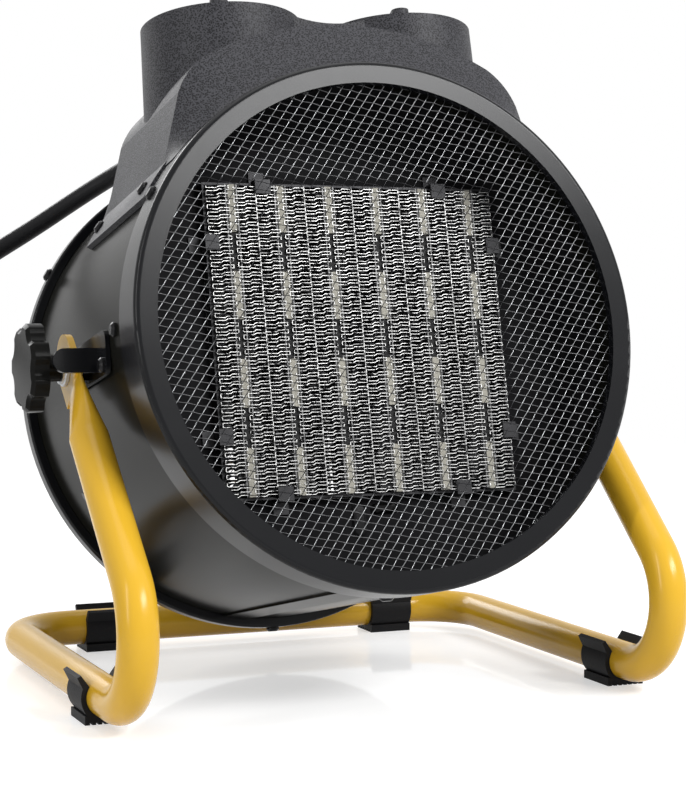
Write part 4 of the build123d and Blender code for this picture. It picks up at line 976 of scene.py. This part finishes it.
# %% Ribs on the sleeve and on the plug
sleeve_start, sleeve_end = Vector((-0.0489, 0.05716, 0.25261)), Vector(cord_points[0])
sleeve_way = (sleeve_end - sleeve_start).normalized()
first_sleeve_rib, sleeve_rib_pitch = 0.0065, 0.0031
relief_ribs = grow("relief_ribs", ribs, {
    "Start": sleeve_start + first_sleeve_rib * sleeve_way, "Along": sleeve_rib_pitch * sleeve_way,
    "Count": 8, "First": 0.0066, "Last": 0.0059, "Rubber": cable_rubber})
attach(relief_ribs, "heater")
first_plug_rib, plug_rib_pitch, plug_rib_radius = 0.0215, 0.0022, 0.0179
plug_ribs = grow("plug_ribs", ribs, {
    "Start": plug_end + Vector((0, -first_plug_rib, 0)), "Along": Vector((0, -plug_rib_pitch, 0)),
    "Count": 5, "First": plug_rib_radius, "Last": plug_rib_radius, "Thickness": 0.0006,
    "Rubber": cable_rubber})
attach(plug_ribs, "stand")

# %% [markdown]
# ## Marks on the dials
# Each grip has a white line at its front end that points at a scale on the pod's rim: short plain
# ticks, more of them for the thermostat than for the switch. They are flat bars, drawn in a dial's own
# frame and taken to the room with the drum's matrix.

# %% Flat bars
white_print = finish("white_print", (0.75, 0.75, 0.73), (0.4, 0.5), wipe_scale=300)
bar_faces = ((3, 2, 1, 0), (4, 5, 6, 7), (0, 1, 5, 4), (1, 2, 6, 5), (2, 3, 7, 6), (3, 0, 4, 7))


def bars(name, places, size, material):
    """Flat bars of one size, each at a place and a turn about the pod's axis."""
    width, length, height = size
    corners, faces = [], []
    for centre, turn in places:
        across = Vector((math.cos(turn), math.sin(turn), 0))
        along = Vector((-math.sin(turn), math.cos(turn), 0))
        first = len(corners)
        for rise in (0, height):
            for a, b in ((-1, -1), (1, -1), (1, 1), (-1, 1)):
                corner = centre + across * a * width / 2 + along * b * length / 2
                corners.append(drum_to_room @ (corner + Vector((0, 0, rise))))
        faces += [[first + k for k in face] for face in bar_faces]
    return from_corners(name, corners, faces, material)


# %% Pointer lines and ticks
grip_top, rim_top = 0.15700, 0.15100
pod_side, pod_middle = 0.0432, 0.070
pointer_reach, tick_reach = 0.0185, 0.0336
pointer_size, tick_size = (0.0011, 0.011, 0.00005), (0.0007, 0.0026, 0.00005)
scale_span = 270


def on_the_pod(side, angle, reach, height):
    """A place at an angle from the front about a pod's axis."""
    ahead = Vector((math.sin(angle), -math.cos(angle), 0))
    return Vector((side * pod_side, pod_middle, 0)) + ahead * reach + Vector((0, 0, height))


for side, word, body, turn, ticks in (
    (-1, "thermostat", "thermostat_knob", -20, 11), (1, "mode", "mode_knob", -14, 4),
):
    angle = math.radians(turn)
    pointer_place = on_the_pod(side, angle, pointer_reach, grip_top)
    pointer = bars(word + "_pointer", [(pointer_place, angle)], pointer_size, white_print)
    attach(pointer, body)
    step = scale_span / max(ticks - 1, 10)
    fan = [math.radians(turn + (k - (ticks - 1) / 2) * step) for k in range(ticks)]
    spots = [(on_the_pod(side, a, tick_reach, rim_top), a) for a in fan]
    scale = bars(word + "_scale", spots, tick_size, white_print)
    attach(scale, "heater")

# %% [markdown]
# ## Floor, light and surroundings
# The photograph is a studio picture on white. The floor is a wide pale disc that keeps the object's
# shadow, and the world behind it is white to the camera and in reflections. Four large soft lamps,
# in front on the right, far out on the left, behind and above, make the long highlights on the drum
# and the tube.

# %% What the camera sees directly
def seen_directly(tree):
    """1 for rays from the camera and for mirrored and transmitted ones, and 0 for all others."""
    rays = add(tree, "ShaderNodeLightPath").outputs
    seen = calc(tree, "MAXIMUM", rays["Is Camera Ray"], rays["Is Glossy Ray"])
    return calc(tree, "MAXIMUM", seen, rays["Is Transmission Ray"])


# %% Floor
floor_radius, floor_sides = 6, 96
floor_turns = [2 * math.pi * k / floor_sides for k in range(floor_sides)]
floor_rim = [(floor_radius * math.cos(turn), floor_radius * math.sin(turn), 0) for turn in floor_turns]
floor_material = bpy.data.materials.new("studio_floor")
floor_material.use_nodes = True
floor_tree = floor_material.node_tree
floor_shader = floor_tree.nodes["Principled BSDF"].inputs
floor_shader["Base Color"].default_value = (0.72, 0.72, 0.72, 1)
floor_shader["Roughness"].default_value = 0.06
floor_shader["IOR"].default_value = 1.12
floor_shader["Emission Color"].default_value = (1, 1, 1, 1)
# The floor fades out round the object, into the white of the world.
distance = add(floor_tree, "ShaderNodeVectorMath", {0: object_place(floor_tree)}, operation="LENGTH")
fade = add(floor_tree, "ShaderNodeMapRange", {
    "Value": distance.outputs["Value"], "From Min": 0.45, "From Max": 1.5, "To Min": 1.0, "To Max": 0.0,
}, interpolation_type="SMOOTHSTEP")
floor_tree.links.new(fade.outputs["Result"], floor_shader["Alpha"])
glow = calc(floor_tree, "MULTIPLY", seen_directly(floor_tree), 0.52)
floor_tree.links.new(glow, floor_shader["Emission Strength"])
floor = from_corners("floor", floor_rim, [list(range(floor_sides))], floor_material)

# %% Lamps
def softbox(name, place, target, size, power):
    """A rectangular area lamp that looks at a point."""
    data = bpy.data.lights.new(name, "AREA")
    data.shape = "RECTANGLE"
    data.size, data.size_y = size
    data.energy = power
    lamp = put_in_scene(name, data)
    away = (Vector(place) - Vector(target)).normalized()
    lamp.matrix_world = Matrix.Translation(place) @ away.to_track_quat("Z", "Y").to_matrix().to_4x4()
    return lamp


softbox("key_lamp", (0.88, -1.49, 1.33), (0, 0, 0.2), (1.1, 0.5), 36)
softbox("side_strip", (-1.7, -0.7, 0.9), (0, 0, 0.2), (0.06, 1.3), 9)
softbox("back_lamp", (-0.5, 2.0, 1.25), (0, 0, 0.2), (1.4, 0.7), 18)
softbox("top_lamp", (0.0, 0.1, 2.2), (0, 0, 0.15), (1.4, 1.4), 8)

# %% World
room_light = 0.42
world = bpy.data.worlds.new("studio")
bpy.context.scene.world = world
world.use_nodes = True
world_tree = world.node_tree
background = world_tree.nodes["Background"].inputs
background["Color"].default_value = (1, 1, 1, 1)
strength = add(world_tree, "ShaderNodeMapRange", {
    "Value": seen_directly(world_tree), "To Min": room_light, "To Max": 1.0})
world_tree.links.new(strength.outputs["Result"], background["Strength"])
bpy.context.scene.view_settings.view_transform = "Standard"
print("the world lights with", room_light, "and looks white")

# %% [markdown]
# ## Closing

# %% Finish
print("done")
